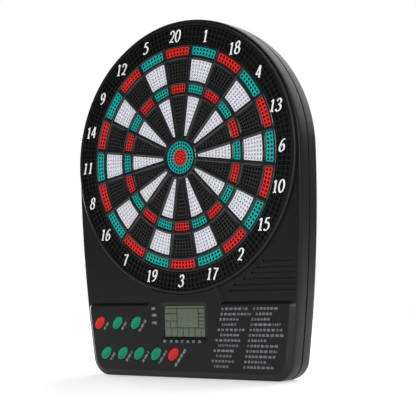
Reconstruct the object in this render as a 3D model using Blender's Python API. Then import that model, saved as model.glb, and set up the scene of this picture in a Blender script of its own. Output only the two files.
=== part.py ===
"""Wall-mounted electronic dartboard for soft-tip darts, as an assembly of its real pieces.

Frame: +X to the viewer's right, -Y towards the viewer, +Z up. The origin is under the middle of the
case, on the surface it stands on. Sizes below are in millimetres; meshes are made in metres.
"""

import math

import bmesh
import bpy
from mathutils import Matrix, Vector

MM = 0.001
TURN_STEPS = 60  # facets round the target's rings

# Case, seen from the front
CASE_HEIGHT = 260.0
HEAD_RADIUS = 101.0
HEAD_Z = CASE_HEIGHT - HEAD_RADIUS
SIDE_BOW = 0.000523  # the side draws in by this times the square of the drop below the head's centre
CORNER_RADIUS = 15.0
WALL = 2.2

# Depths, front to back
BUTTON_FRONT_Y = -12.5
RING_FRONT_Y = -12.1
PANEL_Y = -11.9
SPIDER_FRONT_Y = -11.3
TARGET_Y = -10.6
FACE_Y = -9.3
SEAT_Y = -9.1
FRONT_SHELL_BACK_Y = 0.9
REAR_SHELL_FRONT_Y = 1.2
GROOVE_BACK_Y = 2.2
REAR_Y = 12.5
REAR_INSIDE_Y = 10.0
GROOVE_DEPTH = 0.8
GAP = 0.3

# Dart target
BED_COUNT = 20
BED_ANGLE = 2.0 * math.pi / BED_COUNT
BED_NUMBERS = (20, 1, 18, 4, 13, 6, 10, 15, 2, 17, 3, 19, 7, 16, 8, 11, 14, 9, 12, 5)
BEDS = ((17.4, 44.6), (47.6, 53.1), (56.3, 71.3), (74.6, 80.6))  # single, treble, single, double
BED_STEPS = 2  # facets across one bed
BAR_HALF = 1.8  # from a radial bar's middle to the bed beside it
OUTER_BULL_RADIUS = 11.8
INNER_BULL_RADIUS = 5.9
SPIDER_RADIUS = 82.6
SPIDER_BACK_Y = -7.9
FLANGE_RADIUS = 94.2
FLANGE_BACK_Y = -6.7
WEB_FRONT_Y = -7.3
WEB_BACK_Y = -6.3
NUMBER_RING = (83.0, 94.8)
BORE_RADIUS = 95.1
COLLAR_RADIUS = 97.1
LIP_RADIUS = 90.5
LIP_FRONT_Y = -6.4
LIP_BACK_Y = -3.5
RING_OUTER = 98.7
RING_INNER = 94.3
MAT_RADIUS = 84.0
PLATE_RADIUS = 96.5
PLATE_FRONT_Y = -3.2
PLATE_BACK_Y = -1.6

# Control panel
PANEL_TOP_Z = 52.4
PANEL_FOOT = 1.4  # how far the bevel's foot lies inside the case's outline
PANEL_EDGE = 5.2  # the same for the panel's flat top
HUMP_HALF = 28.0
HUMP_SHOULDER = 33.0
BUTTON_LONG = 5.7
BUTTON_SHORT = 3.6
BUTTON_TILT = math.radians(45.0)
BUTTON_TOP_Z = 39.9
BUTTON_LOW_Z = 17.3
BUTTONS = (
    ("power_button", -80.5, BUTTON_TOP_Z, "red"),
    ("sound_button", -62.7, BUTTON_TOP_Z, "green"),
    ("score_button", -44.7, BUTTON_TOP_Z, "green"),
    ("game_button", -74.5, BUTTON_LOW_Z, "green"),
    ("option_button", -58.3, BUTTON_LOW_Z, "green"),
    ("player_button", -42.3, BUTTON_LOW_Z, "green"),
    ("double_button", -26.1, BUTTON_LOW_Z, "green"),
    ("start_button", -9.9, BUTTON_LOW_Z, "red"),
)
LCD_Z = 40.8
LCD_WINDOW = (18.6, 11.2)  # half width and half height of the opening
LCD_BEZEL = 3.2
VENT_LINES = ((81.7, 68.0), (77.6, 63.6), (73.9, 58.3), (70.0, 51.9), (66.1, 44.0), (62.1, 39.0))
VENT_END_X = 93.5
SPEAKER_PLACE = (75.0, 71.0)

# Fasteners
SCREW_POLAR = (50.0, 130.0, -12.0, 192.0)
SCREW_ORBIT = 93.2
LOW_SCREWS = ((85.5, 22.0), (-85.5, 22.0))
BOARD_SCREWS = ((-30.0, 34.0), (12.0, 20.0))

# Batteries: AA cells lying side by side
CELL_RADIUS = 7.25
CELL_LENGTH = 49.2
CELL_NUB = 1.3
CELL_Y = 2.9
CELL_PITCH = 15.0
BAY_X = (24.0, 78.0)
BAY_Z = (9.0, 54.0)
BAY_FRONT_Y = -4.7
BAY_WALL = 1.4
DOOR_LIP = 2.0
DOOR_FRONT_Y = 11.1

COLOURS = {
    "black": ((0.016, 0.018, 0.018), 0.42, 0.0),
    "spider": ((0.028, 0.029, 0.031), 0.45, 0.0),
    "ink": ((0.006, 0.006, 0.006), 0.55, 0.0),
    "red": ((0.800, 0.033, 0.027), 0.40, 0.0),
    "teal": ((0.010, 0.545, 0.434), 0.40, 0.0),
    "green": ((0.007, 0.296, 0.188), 0.42, 0.0),
    "white": ((0.790, 0.768, 0.871), 0.45, 0.0),
    "rubber": ((0.030, 0.030, 0.032), 0.85, 0.0),
    "lens": ((0.550, 0.600, 0.560), 0.08, 0.0),
    "lcd": ((0.162, 0.181, 0.145), 0.25, 0.0),
    "board": ((0.020, 0.140, 0.055), 0.45, 0.0),
    "film": ((0.350, 0.330, 0.240), 0.35, 0.0),
    "plate": ((0.080, 0.080, 0.085), 0.60, 0.0),
    "steel": ((0.560, 0.570, 0.580), 0.32, 1.0),
    "cell": ((0.045, 0.070, 0.160), 0.35, 0.3),
    "magnet": ((0.250, 0.250, 0.260), 0.40, 1.0),
}


# ---------------------------------------------------------------- scene, materials and meshes


def clear_scene():
    for thing in list(bpy.data.objects):
        bpy.data.objects.remove(thing, do_unlink=True)


def material(name):
    """The Principled material of that name, made once."""
    found = bpy.data.materials.get(name)
    if found:
        return found
    colour, roughness, metallic = COLOURS[name]
    made = bpy.data.materials.new(name)
    made.use_nodes = True
    shader = made.node_tree.nodes["Principled BSDF"]
    shader.inputs["Base Color"].default_value = (*colour, 1.0)
    shader.inputs["Roughness"].default_value = roughness
    shader.inputs["Metallic"].default_value = metallic
    made.diffuse_color = (*colour, 1.0)
    return made


def to_mesh(name, bm, sharp=30.0):
    """A mesh from a bmesh in millimetres, its faces turned outwards and its round parts smooth."""
    bmesh.ops.scale(bm, vec=(MM, MM, MM), verts=bm.verts)
    bmesh.ops.recalc_face_normals(bm, faces=bm.faces)
    mesh = bpy.data.meshes.new(name)
    bm.to_mesh(mesh)
    bm.free()
    mesh.shade_smooth()
    mesh.set_sharp_from_angle(angle=math.radians(sharp))
    return mesh


def place(name, mesh, colour, location=(0.0, 0.0, 0.0), turn=0.0):
    """An object holding the mesh, at a location in millimetres, turned about the Y axis."""
    if not mesh.materials:
        mesh.materials.append(material(colour))
    made = bpy.data.objects.new(name, mesh)
    made.location = Vector(location) * MM
    made.rotation_euler = (0.0, turn, 0.0)
    bpy.context.scene.collection.objects.link(made)
    return made


def cutter(name, bm):
    """A shape that only cuts or joins others."""
    made = place(name, to_mesh(name, bm), "black")
    made.hide_render = True
    made.display_type = "WIRE"
    return made


def boolean(target, tool, operation):
    step = target.modifiers.new(operation.title() + "_" + tool.name, "BOOLEAN")
    step.object = tool
    step.operation = operation
    step.solver = "EXACT"


def add_loft(bm, rings):
    """A closed solid through rings of (x, y, z) points, all of one length, with flat ends."""
    rows = [[bm.verts.new(point) for point in ring] for ring in rings]
    count = len(rows[0])
    for low, high in zip(rows, rows[1:]):
        for i in range(count):
            j = (i + 1) % count
            bm.faces.new((low[i], low[j], high[j], high[i]))
    bm.faces.new(rows[0])
    bm.faces.new(rows[-1])


def add_prism(bm, outline, front_y, back_y):
    """A closed outline of (x, z) points given depth along Y."""
    add_loft(bm, [[(x, y, z) for x, z in outline] for y in (front_y, back_y)])


def add_box(bm, x_range, y_range, z_range):
    add_prism(bm, rectangle(x_range, z_range), y_range[0], y_range[1])


def add_turned(bm, profile, centre=(0.0, 0.0), steps=TURN_STEPS, phase=0.0):
    """A profile of (radius, y) points turned about a line along Y through (x, z) centre.

    The profile is a closed loop off the axis, or it starts and ends on it. The phase, in steps,
    keeps the corners of one turned shape off the edges of another.
    """
    solid = profile[0][0] == 0.0
    rings = []
    for radius, y in profile:
        if radius == 0.0:
            rings.append([bm.verts.new((centre[0], y, centre[1]))])
            continue
        ring = []
        for i in range(steps):
            angle = 2.0 * math.pi * (i + phase) / steps
            x = centre[0] + radius * math.cos(angle)
            z = centre[1] + radius * math.sin(angle)
            ring.append(bm.verts.new((x, y, z)))
        rings.append(ring)
    pairs = list(zip(rings, rings[1:]))
    if not solid:
        pairs.append((rings[-1], rings[0]))
    for near, far in pairs:
        for i in range(steps):
            j = (i + 1) % steps
            corners = (near[i % len(near)], near[j % len(near)], far[j % len(far)], far[i % len(far)])
            bm.faces.new(list(dict.fromkeys(corners)))


# ---------------------------------------------------------------- outlines, as (x, z) points


def arc(centre, radius, start, end, steps):
    """Points along an arc, angles in degrees."""
    turns = [math.radians(start + (end - start) * i / steps) for i in range(steps + 1)]
    return [(centre[0] + radius * math.cos(t), centre[1] + radius * math.sin(t)) for t in turns]


def circle(centre, radius, steps):
    return arc(centre, radius, 0.0, 360.0, steps)[:-1]


def rectangle(x_range, z_range, radius=0.0):
    """A rectangle, its corners rounded if a radius is given."""
    (x0, x1), (z0, z1) = x_range, z_range
    if not radius:
        return [(x0, z0), (x1, z0), (x1, z1), (x0, z1)]
    corners = ((x1, z0, -1, 1), (x1, z1, -1, -1), (x0, z1, 1, -1), (x0, z0, 1, 1))
    points = []
    for i, (x, z, to_x, to_z) in enumerate(corners):
        centre = (x + to_x * radius, z + to_z * radius)
        points += arc(centre, radius, -90.0 + 90.0 * i, 90.0 * i, 3)
    return points


def ellipse(centre, long, short, steps=16):
    """An ellipse whose long axis leans up to the right by the buttons' tilt."""
    points = []
    for i in range(steps):
        angle = 2.0 * math.pi * i / steps
        along, across = long * math.cos(angle), short * math.sin(angle)
        x = along * math.cos(BUTTON_TILT) - across * math.sin(BUTTON_TILT)
        z = along * math.sin(BUTTON_TILT) + across * math.cos(BUTTON_TILT)
        points.append((centre[0] + x, centre[1] + z))
    return points


def side_x(z):
    return HEAD_RADIUS - SIDE_BOW * (HEAD_Z - z) ** 2


def corner_lean():
    """Angle at which the side meets the corner's arc, found by a few steps of substitution."""
    lean = 0.0
    for _ in range(8):
        lean = math.atan(2.0 * SIDE_BOW * (HEAD_Z - CORNER_RADIUS * (1.0 - math.sin(lean))))
    return lean


def right_half(inset):
    """The case's right-hand outline from the base to the crown: corner, bowed side, head."""
    lean = corner_lean()
    tangent_z = CORNER_RADIUS * (1.0 - math.sin(lean))
    corner_x = side_x(tangent_z) - CORNER_RADIUS * math.cos(lean)
    centre = (corner_x, CORNER_RADIUS)
    points = arc(centre, CORNER_RADIUS - inset, -90.0, -math.degrees(lean), 6)
    for i in range(1, 6):
        z = tangent_z + (HEAD_Z - tangent_z) * i / 6.0
        slope = math.atan(2.0 * SIDE_BOW * (HEAD_Z - z))
        points.append((side_x(z) - inset * math.cos(slope), z + inset * math.sin(slope)))
    points += arc((0.0, HEAD_Z), HEAD_RADIUS - inset, 0.0, 90.0, 18)
    return points


def case_outline(inset):
    """The whole outline, moved inwards by inset."""
    right = right_half(inset)
    left = [(-x, z) for x, z in reversed(right[:-1])]
    return right + left


def case_ring(inset, y):
    return [(x, y, z) for x, z in case_outline(inset)]


def panel_outline(inset, top_z, hump, shoulder, chamfer, hump_top):
    """The panel's outline: the case's own outline below, and a step up to the target in the middle."""
    low = [point for point in right_half(inset) if point[1] < top_z - chamfer - 1.0]
    edge_x = side_x(top_z - chamfer) - inset
    corner = [(edge_x, top_z - chamfer), (edge_x - chamfer, top_z)]
    right = low + corner + [(shoulder, top_z), (hump, hump_top)]
    left = [(-x, z) for x, z in reversed(right)]
    return right + left


def bed_half_angle(radius, gap):
    """Half the angle a bed spans at that radius, its sides parallel to the bars beside it."""
    return BED_ANGLE / 2.0 - math.asin(gap / radius)


def bed_outline(inner, outer, gap, steps=BED_STEPS):
    """A bed's outline about the target's centre, pointing up."""
    points = []
    for radius, order in ((outer, range(steps + 1)), (inner, range(steps, -1, -1))):
        half = bed_half_angle(radius, gap)
        for i in order:
            angle = half * (2.0 * i / steps - 1.0)
            points.append((radius * math.sin(angle), radius * math.cos(angle)))
    return points


def polar(orbit, degrees):
    """A point on a circle about the target's centre."""
    turn = math.radians(degrees)
    return (orbit * math.cos(turn), HEAD_Z + orbit * math.sin(turn))


def case_screw_places():
    return [polar(SCREW_ORBIT, degrees) for degrees in SCREW_POLAR] + list(LOW_SCREWS)


# ---------------------------------------------------------------- case


def build_front_shell():
    bm = bmesh.new()
    add_loft(
        bm,
        [
            case_ring(1.1, FACE_Y),
            case_ring(0.35, FACE_Y + 0.3),
            case_ring(0.0, FACE_Y + 1.0),
            case_ring(0.0, FRONT_SHELL_BACK_Y),
        ],
    )
    shell = place("front_shell", to_mesh("front_shell", bm), "black")

    bm = bmesh.new()
    add_loft(bm, [case_ring(WALL, FACE_Y + WALL), case_ring(WALL, FRONT_SHELL_BACK_Y + 2.0)])
    boolean(shell, cutter("front_cavity", bm), "DIFFERENCE")

    bm = bmesh.new()
    foot = panel_outline(PANEL_FOOT, PANEL_TOP_Z + 2.1, HUMP_HALF + 3.0, HUMP_SHOULDER + 4.5, 4.2, 66.0)
    top = panel_outline(PANEL_EDGE, PANEL_TOP_Z, HUMP_HALF, HUMP_SHOULDER, 0.6, 66.0)
    add_loft(
        bm,
        [
            [(x, PANEL_Y, z) for x, z in top],
            [(x, FACE_Y, z) for x, z in foot],
            [(x, FACE_Y + 1.2, z) for x, z in foot],
        ],
    )
    boolean(shell, cutter("panel_relief", bm), "UNION")

    bm = bmesh.new()
    inside = panel_outline(PANEL_EDGE + 0.8, PANEL_TOP_Z - WALL, 24.0, 27.0, 0.6, 58.5)
    add_prism(bm, inside, PANEL_Y + WALL, FACE_Y + WALL + 1.0)
    boolean(shell, cutter("panel_cavity", bm), "DIFFERENCE")

    bm = bmesh.new()
    seat = RING_OUTER + 0.4
    add_turned(bm, ((0.0, -14.0), (seat, -14.0), (seat, SEAT_Y), (0.0, SEAT_Y)), (0.0, HEAD_Z))
    boolean(shell, cutter("ring_seat", bm), "DIFFERENCE")

    bm = bmesh.new()
    bore = BORE_RADIUS + 1.0
    profile = ((0.0, -14.0), (bore, -14.0), (bore, 4.0), (0.0, 4.0))
    add_turned(bm, profile, (0.0, HEAD_Z), phase=0.5)
    boolean(shell, cutter("target_bore", bm), "DIFFERENCE")

    bm = bmesh.new()
    collar = (
        (BORE_RADIUS, SEAT_Y + 0.1),
        (COLLAR_RADIUS, SEAT_Y + 0.1),
        (COLLAR_RADIUS, LIP_BACK_Y),
        (LIP_RADIUS, LIP_BACK_Y),
        (LIP_RADIUS, LIP_FRONT_Y),
        (BORE_RADIUS, LIP_FRONT_Y),
    )
    add_turned(bm, collar, (0.0, HEAD_Z))
    boolean(shell, cutter("target_collar", bm), "UNION")

    bm = bmesh.new()
    for x, z in LOW_SCREWS:
        add_prism(bm, circle((x, z), 3.2, 12), FACE_Y + 1.0, -1.6)
    for x, z in BOARD_SCREWS:
        add_prism(bm, circle((x, z), 2.6, 12), PANEL_Y + 1.0, -5.7)
    boolean(shell, cutter("front_bosses", bm), "UNION")

    bm = bmesh.new()
    for x, z in case_screw_places():
        add_prism(bm, circle((x, z), 1.4, 8), LIP_FRONT_Y - 0.5, 2.0)
    for x, z in BOARD_SCREWS:
        add_prism(bm, circle((x, z), 1.4, 8), -9.6, -3.0)
    boolean(shell, cutter("front_pilot_holes", bm), "DIFFERENCE")

    bm = bmesh.new()
    for _, x, z, _ in BUTTONS:
        add_prism(bm, ellipse((x, z), BUTTON_LONG + 0.35, BUTTON_SHORT + 0.35), -14.0, -6.0)
    boolean(shell, cutter("button_holes", bm), "DIFFERENCE")

    bm = bmesh.new()
    half_x, half_z = LCD_WINDOW
    rings = []
    for y, grow in ((PANEL_Y - 0.4, LCD_BEZEL * 1.5), (PANEL_Y + 0.8, 0.0), (-6.0, 0.0)):
        x_range = (-half_x - grow, half_x + grow)
        z_range = (LCD_Z - half_z - grow * 0.7, LCD_Z + half_z + grow * 0.7)
        rings.append([(x, y, z) for x, z in rectangle(x_range, z_range, 1.2 + grow * 0.3)])
    add_loft(bm, rings)
    boolean(shell, cutter("lcd_opening", bm), "DIFFERENCE")

    bm = bmesh.new()
    for z, start_x in VENT_LINES:
        add_box(bm, (start_x, VENT_END_X), (FACE_Y - 1.0, FACE_Y + 0.8), (z - 0.45, z + 0.45))
    boolean(shell, cutter("speaker_grooves", bm), "DIFFERENCE")

    bm = bmesh.new()
    for z, start_x in VENT_LINES:
        if start_x > 42.0:
            add_prism(bm, circle((start_x, z), 0.8, 8), FACE_Y - 1.0, FACE_Y + WALL + 1.0)
    boolean(shell, cutter("speaker_holes", bm), "DIFFERENCE")


def build_rear_shell():
    bm = bmesh.new()
    add_loft(
        bm,
        [
            case_ring(GROOVE_DEPTH, REAR_SHELL_FRONT_Y),
            case_ring(GROOVE_DEPTH, GROOVE_BACK_Y),
            case_ring(0.0, GROOVE_BACK_Y + 0.01),
            case_ring(0.0, REAR_Y - 1.0),
            case_ring(0.35, REAR_Y - 0.3),
            case_ring(1.1, REAR_Y),
        ],
    )
    shell = place("rear_shell", to_mesh("rear_shell", bm), "black")

    bm = bmesh.new()
    add_loft(bm, [case_ring(WALL + 0.2, REAR_SHELL_FRONT_Y - 2.0), case_ring(WALL + 0.2, REAR_INSIDE_Y)])
    boolean(shell, cutter("rear_cavity", bm), "DIFFERENCE")

    bm = bmesh.new()
    x_range = (BAY_X[0] - BAY_WALL, BAY_X[1] + BAY_WALL)
    z_range = (BAY_Z[0] - BAY_WALL, BAY_Z[1] + BAY_WALL)
    add_box(bm, x_range, (BAY_FRONT_Y - 1.2, REAR_INSIDE_Y + 0.5), z_range)
    for x, z in case_screw_places():
        add_prism(bm, circle((x, z), 4.2, 14), 6.6, REAR_INSIDE_Y + 0.5)
    boolean(shell, cutter("rear_bosses", bm), "UNION")

    bm = bmesh.new()
    for x, z in case_screw_places():
        add_prism(bm, circle((x, z), 3.1, 12), -1.3, 7.2)
    boolean(shell, cutter("rear_posts", bm), "UNION")

    bm = bmesh.new()
    add_box(bm, BAY_X, (BAY_FRONT_Y, REAR_Y + 2.0), BAY_Z)
    for x, z in case_screw_places():
        add_prism(bm, circle((x, z), 2.9, 14), 8.2, REAR_Y + 2.0)
    for side in (-1.0, 1.0):
        add_prism(bm, keyhole((side * 40.0, 202.0)), REAR_INSIDE_Y - 1.0, REAR_Y + 2.0)
    boolean(shell, cutter("rear_openings", bm), "DIFFERENCE")

    bm = bmesh.new()
    x_range = (BAY_X[0] - DOOR_LIP, BAY_X[1] + DOOR_LIP)
    z_range = (BAY_Z[0] - DOOR_LIP, BAY_Z[1] + DOOR_LIP)
    add_prism(bm, rectangle(x_range, z_range, 2.0), DOOR_FRONT_Y - GAP, REAR_Y + 3.0)
    for x, z in case_screw_places():
        add_prism(bm, circle((x, z), 1.5, 8), -3.0, 9.0)
    boolean(shell, cutter("rear_recesses", bm), "DIFFERENCE")


def keyhole(centre):
    """A round entry for a screw head with a narrow slot above it for the shank."""
    entry, slot, rise = 4.6, 1.9, 9.0
    meet = math.degrees(math.asin(slot / entry))
    low = arc(centre, entry, 90.0 + meet, 450.0 - meet, 14)
    high = arc((centre[0], centre[1] + rise), slot, 0.0, 180.0, 4)
    return low + high


def build_battery_door():
    bm = bmesh.new()
    grow = DOOR_LIP - GAP
    x_range = (BAY_X[0] - grow, BAY_X[1] + grow)
    z_range = (BAY_Z[0] - grow, BAY_Z[1] + grow)
    outline = rectangle(x_range, z_range, 1.8)
    add_prism(bm, outline, DOOR_FRONT_Y, REAR_Y)
    middle = (sum(BAY_X) / 2.0, (DOOR_FRONT_Y + REAR_Y) / 2.0, sum(BAY_Z) / 2.0)
    bmesh.ops.translate(bm, verts=bm.verts, vec=-Vector(middle))
    door = place("battery_door", to_mesh("battery_door", bm), "black", middle)

    bm = bmesh.new()
    thumb_z = BAY_Z[1] - 6.0
    add_prism(bm, rectangle((middle[0] - 9.0, middle[0] + 9.0), (thumb_z, thumb_z + 5.0), 2.0), 12.0, 14.0)
    boolean(door, cutter("thumb_recess", bm), "DIFFERENCE")


def build_screws():
    for i, (x, z) in enumerate(case_screw_places(), 1):
        bm = bmesh.new()
        profile = ((0.0, 9.9), (1.6, 9.9), (2.5, 9.3), (2.5, 8.5), (1.1, 8.5), (1.1, -5.2), (0.0, -5.9))
        add_turned(bm, profile, steps=10)
        place("case_screw_%d" % i, to_mesh("case_screw_%d" % i, bm), "steel", (x, 0.0, z))
    for i, (x, z) in enumerate(BOARD_SCREWS, 1):
        bm = bmesh.new()
        profile = ((0.0, -1.9), (1.5, -1.9), (2.2, -2.5), (2.2, -3.5), (1.0, -3.5), (1.0, -8.8), (0.0, -9.2))
        add_turned(bm, profile, steps=8)
        place("board_screw_%d" % i, to_mesh("board_screw_%d" % i, bm), "steel", (x, 0.0, z))


# ---------------------------------------------------------------- target


def build_target_rings():
    bm = bmesh.new()
    profile = (
        (RING_INNER, RING_FRONT_Y),
        (RING_OUTER - 0.6, RING_FRONT_Y),
        (RING_OUTER, RING_FRONT_Y + 0.6),
        (RING_OUTER, SEAT_Y - GAP),
        (BORE_RADIUS + 0.3, SEAT_Y - GAP),
        (BORE_RADIUS + 0.3, TARGET_Y - GAP),
        (RING_INNER, TARGET_Y - GAP),
    )
    add_turned(bm, profile)
    place("target_ring", to_mesh("target_ring", bm), "black", (0.0, 0.0, HEAD_Z))

    bm = bmesh.new()
    inner, outer = NUMBER_RING
    back = SPIDER_BACK_Y - GAP
    add_turned(bm, ((inner, TARGET_Y), (outer, TARGET_Y), (outer, back), (inner, back)))
    place("number_ring", to_mesh("number_ring", bm), "ink", (0.0, 0.0, HEAD_Z))


def build_spider():
    """The frame round the beds: a hub, twenty radial bars and four rings, with a flange behind."""
    bm = bmesh.new()
    hub = OUTER_BULL_RADIUS + GAP
    profile = (
        (hub, SPIDER_FRONT_Y),
        (SPIDER_RADIUS, SPIDER_FRONT_Y),
        (SPIDER_RADIUS, SPIDER_BACK_Y),
        (FLANGE_RADIUS, SPIDER_BACK_Y),
        (FLANGE_RADIUS, FLANGE_BACK_Y),
        (SPIDER_RADIUS - 1.0, FLANGE_BACK_Y),
        (SPIDER_RADIUS - 1.0, SPIDER_BACK_Y),
        (hub, SPIDER_BACK_Y),
    )
    add_turned(bm, profile, (0.0, HEAD_Z))
    spider = place("spider_frame", to_mesh("spider_frame", bm), "spider")

    bm = bmesh.new()
    for i in range(BED_COUNT):
        turn = -BED_ANGLE * i
        cos, sin = math.cos(turn), math.sin(turn)
        for inner, outer in BEDS:
            outline = bed_outline(inner - GAP, outer + GAP, BAR_HALF - GAP)
            turned = [(x * cos - z * sin, HEAD_Z + x * sin + z * cos) for x, z in outline]
            add_prism(bm, turned, SPIDER_FRONT_Y - 1.0, SPIDER_BACK_Y + 0.7)
    boolean(spider, cutter("bed_openings", bm), "DIFFERENCE")


def segment_mesh(name, doubles, singles):
    """One number's four beds on their common web, pointing up from the target's centre."""
    profile = []
    for inner, outer in BEDS:
        profile += [(inner, WEB_FRONT_Y), (inner, TARGET_Y), (outer, TARGET_Y), (outer, WEB_FRONT_Y)]
    profile[0] = (BEDS[0][0], WEB_BACK_Y)
    profile[-1] = (BEDS[-1][1], WEB_BACK_Y)
    bm = bmesh.new()
    columns = []
    for i in range(BED_STEPS + 1):
        column = []
        for radius, y in profile:
            angle = bed_half_angle(radius, BAR_HALF) * (2.0 * i / BED_STEPS - 1.0)
            point = (radius * math.sin(angle), y - TARGET_Y, radius * math.cos(angle))
            column.append(bm.verts.new(point))
        columns.append(column)
    count = len(profile)
    for near, far in zip(columns, columns[1:]):
        for i in range(count):
            j = (i + 1) % count
            face = bm.faces.new((near[i], near[j], far[j], far[i]))
            middle = (profile[i][0] + profile[j][0]) / 2.0
            face.material_index = int(any(BEDS[k][0] - 0.1 <= middle <= BEDS[k][1] + 0.1 for k in (1, 3)))
    bm.faces.new(columns[0])
    bm.faces.new(columns[-1])
    mesh = to_mesh(name, bm)
    mesh.materials.append(material(singles))
    mesh.materials.append(material(doubles))
    return mesh


def build_segments():
    meshes = (segment_mesh("segment_dark", "red", "ink"), segment_mesh("segment_light", "teal", "white"))
    for i, number in enumerate(BED_NUMBERS):
        place("segment_%d" % number, meshes[i % 2], "ink", (0.0, TARGET_Y, HEAD_Z), BED_ANGLE * i)


def build_bulls():
    depth = WEB_BACK_Y - TARGET_Y
    inner = INNER_BULL_RADIUS + GAP
    bm = bmesh.new()
    profile = ((inner, 0.0), (OUTER_BULL_RADIUS, 0.0), (OUTER_BULL_RADIUS, depth), (inner, depth))
    add_turned(bm, profile, steps=24)
    place("outer_bull", to_mesh("outer_bull", bm), "teal", (0.0, TARGET_Y, HEAD_Z))
    bm = bmesh.new()
    profile = ((0.0, 0.0), (INNER_BULL_RADIUS, 0.0), (INNER_BULL_RADIUS, depth), (0.0, depth))
    add_turned(bm, profile, steps=20)
    place("inner_bull", to_mesh("inner_bull", bm), "red", (0.0, TARGET_Y, HEAD_Z))


def build_switch_stack():
    """Behind the beds: the rubber mat, the switch film and the stiff plate that backs them."""
    for name, front, back, colour in (
        ("rubber_mat", -5.2, -4.2, "rubber"),
        ("switch_membrane", -3.9, -3.5, "film"),
    ):
        bm = bmesh.new()
        add_prism(bm, circle((0.0, HEAD_Z), MAT_RADIUS, 48), front, back)
        place(name, to_mesh(name, bm), colour)

    bm = bmesh.new()
    add_prism(bm, circle((0.0, HEAD_Z), PLATE_RADIUS, TURN_STEPS), PLATE_FRONT_Y, PLATE_BACK_Y)
    plate = place("backing_plate", to_mesh("backing_plate", bm), "plate")
    bm = bmesh.new()
    for degrees in SCREW_POLAR:
        add_prism(bm, circle(polar(SCREW_ORBIT, degrees), 1.6, 8), -4.0, 0.0)
    add_box(bm, (-10.0, 10.0), (-4.0, 0.0), (HEAD_Z - PLATE_RADIUS - 2.0, 82.0))
    boolean(plate, cutter("plate_holes", bm), "DIFFERENCE")

    bm = bmesh.new()
    add_box(bm, (-8.0, 8.0), (-3.2, -2.9), (47.0, 80.0))
    place("ribbon_cable", to_mesh("ribbon_cable", bm), "film")


# ---------------------------------------------------------------- control panel


def build_buttons():
    """Each button is a domed oval with a flange that keeps it behind the panel."""
    flange_front = PANEL_Y + WALL + GAP
    levels = (
        (BUTTON_FRONT_Y, -1.6),
        (BUTTON_FRONT_Y + 0.5, -0.2),
        (flange_front, 0.0),
        (flange_front, 1.2),
        (flange_front + 0.8, 1.2),
    )
    for name, x, z, colour in BUTTONS:
        bm = bmesh.new()
        rings = []
        for y, grow in levels:
            outline = ellipse((0.0, 0.0), BUTTON_LONG + grow, BUTTON_SHORT + grow)
            rings.append([(px, y - BUTTON_FRONT_Y, pz) for px, pz in outline])
        add_loft(bm, rings)
        place(name, to_mesh(name, bm), colour, (x, BUTTON_FRONT_Y, z))


def build_keypad():
    bm = bmesh.new()
    outline = [(-83.5, 33.0), (-78.5, 10.5), (-2.0, 10.5), (-2.0, 24.5), (-35.0, 24.5), (-35.0, 48.0)]
    add_prism(bm, outline + [(-88.0, 48.0), (-88.0, 33.0)], -6.6, -5.8)
    sheet = place("keypad_sheet", to_mesh("keypad_sheet", bm), "rubber")
    bm = bmesh.new()
    for _, x, z, _ in BUTTONS:
        add_prism(bm, ellipse((x, z), 4.6, 2.9, 10), -7.5, -6.2)
    boolean(sheet, cutter("keypad_domes", bm), "UNION")


def build_display():
    half_x, half_z = LCD_WINDOW
    x_range = (-half_x + GAP, half_x - GAP)
    z_range = (LCD_Z - half_z + GAP, LCD_Z + half_z - GAP)
    bm = bmesh.new()
    add_prism(bm, rectangle(x_range, z_range, 1.0), -11.05, -10.45)
    place("lcd_window", to_mesh("lcd_window", bm), "lens")

    bm = bmesh.new()
    add_prism(bm, rectangle(x_range, z_range, 1.0), -10.15, -9.0)
    module = place("lcd_module", to_mesh("lcd_module", bm), "lcd")
    bm = bmesh.new()
    add_box(bm, (-22.0, 22.0), (-9.4, -7.2), (26.8, 56.0))
    boolean(module, cutter("lcd_body", bm), "UNION")


def build_circuit_board():
    bm = bmesh.new()
    outline = [(-78.0, 10.0), (20.0, 10.0), (20.0, 56.0), (-30.0, 56.0), (-36.0, 50.0), (-82.0, 50.0)]
    add_prism(bm, outline + [(-82.0, 28.0)], -5.4, -3.8)
    board = place("circuit_board", to_mesh("circuit_board", bm), "board")
    bm = bmesh.new()
    for x, z in BOARD_SCREWS:
        add_prism(bm, circle((x, z), 1.4, 8), -7.0, -2.0)
    boolean(board, cutter("board_holes", bm), "DIFFERENCE")


def build_speaker():
    bm = bmesh.new()
    profile = (
        (0.0, -6.6),
        (12.5, -6.6),
        (12.5, -5.4),
        (8.0, -3.2),
        (8.0, -0.8),
        (0.0, -0.8),
    )
    add_turned(bm, profile, steps=24)
    place("speaker", to_mesh("speaker", bm), "magnet", (SPEAKER_PLACE[0], 0.0, SPEAKER_PLACE[1]))


# ---------------------------------------------------------------- batteries


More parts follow.
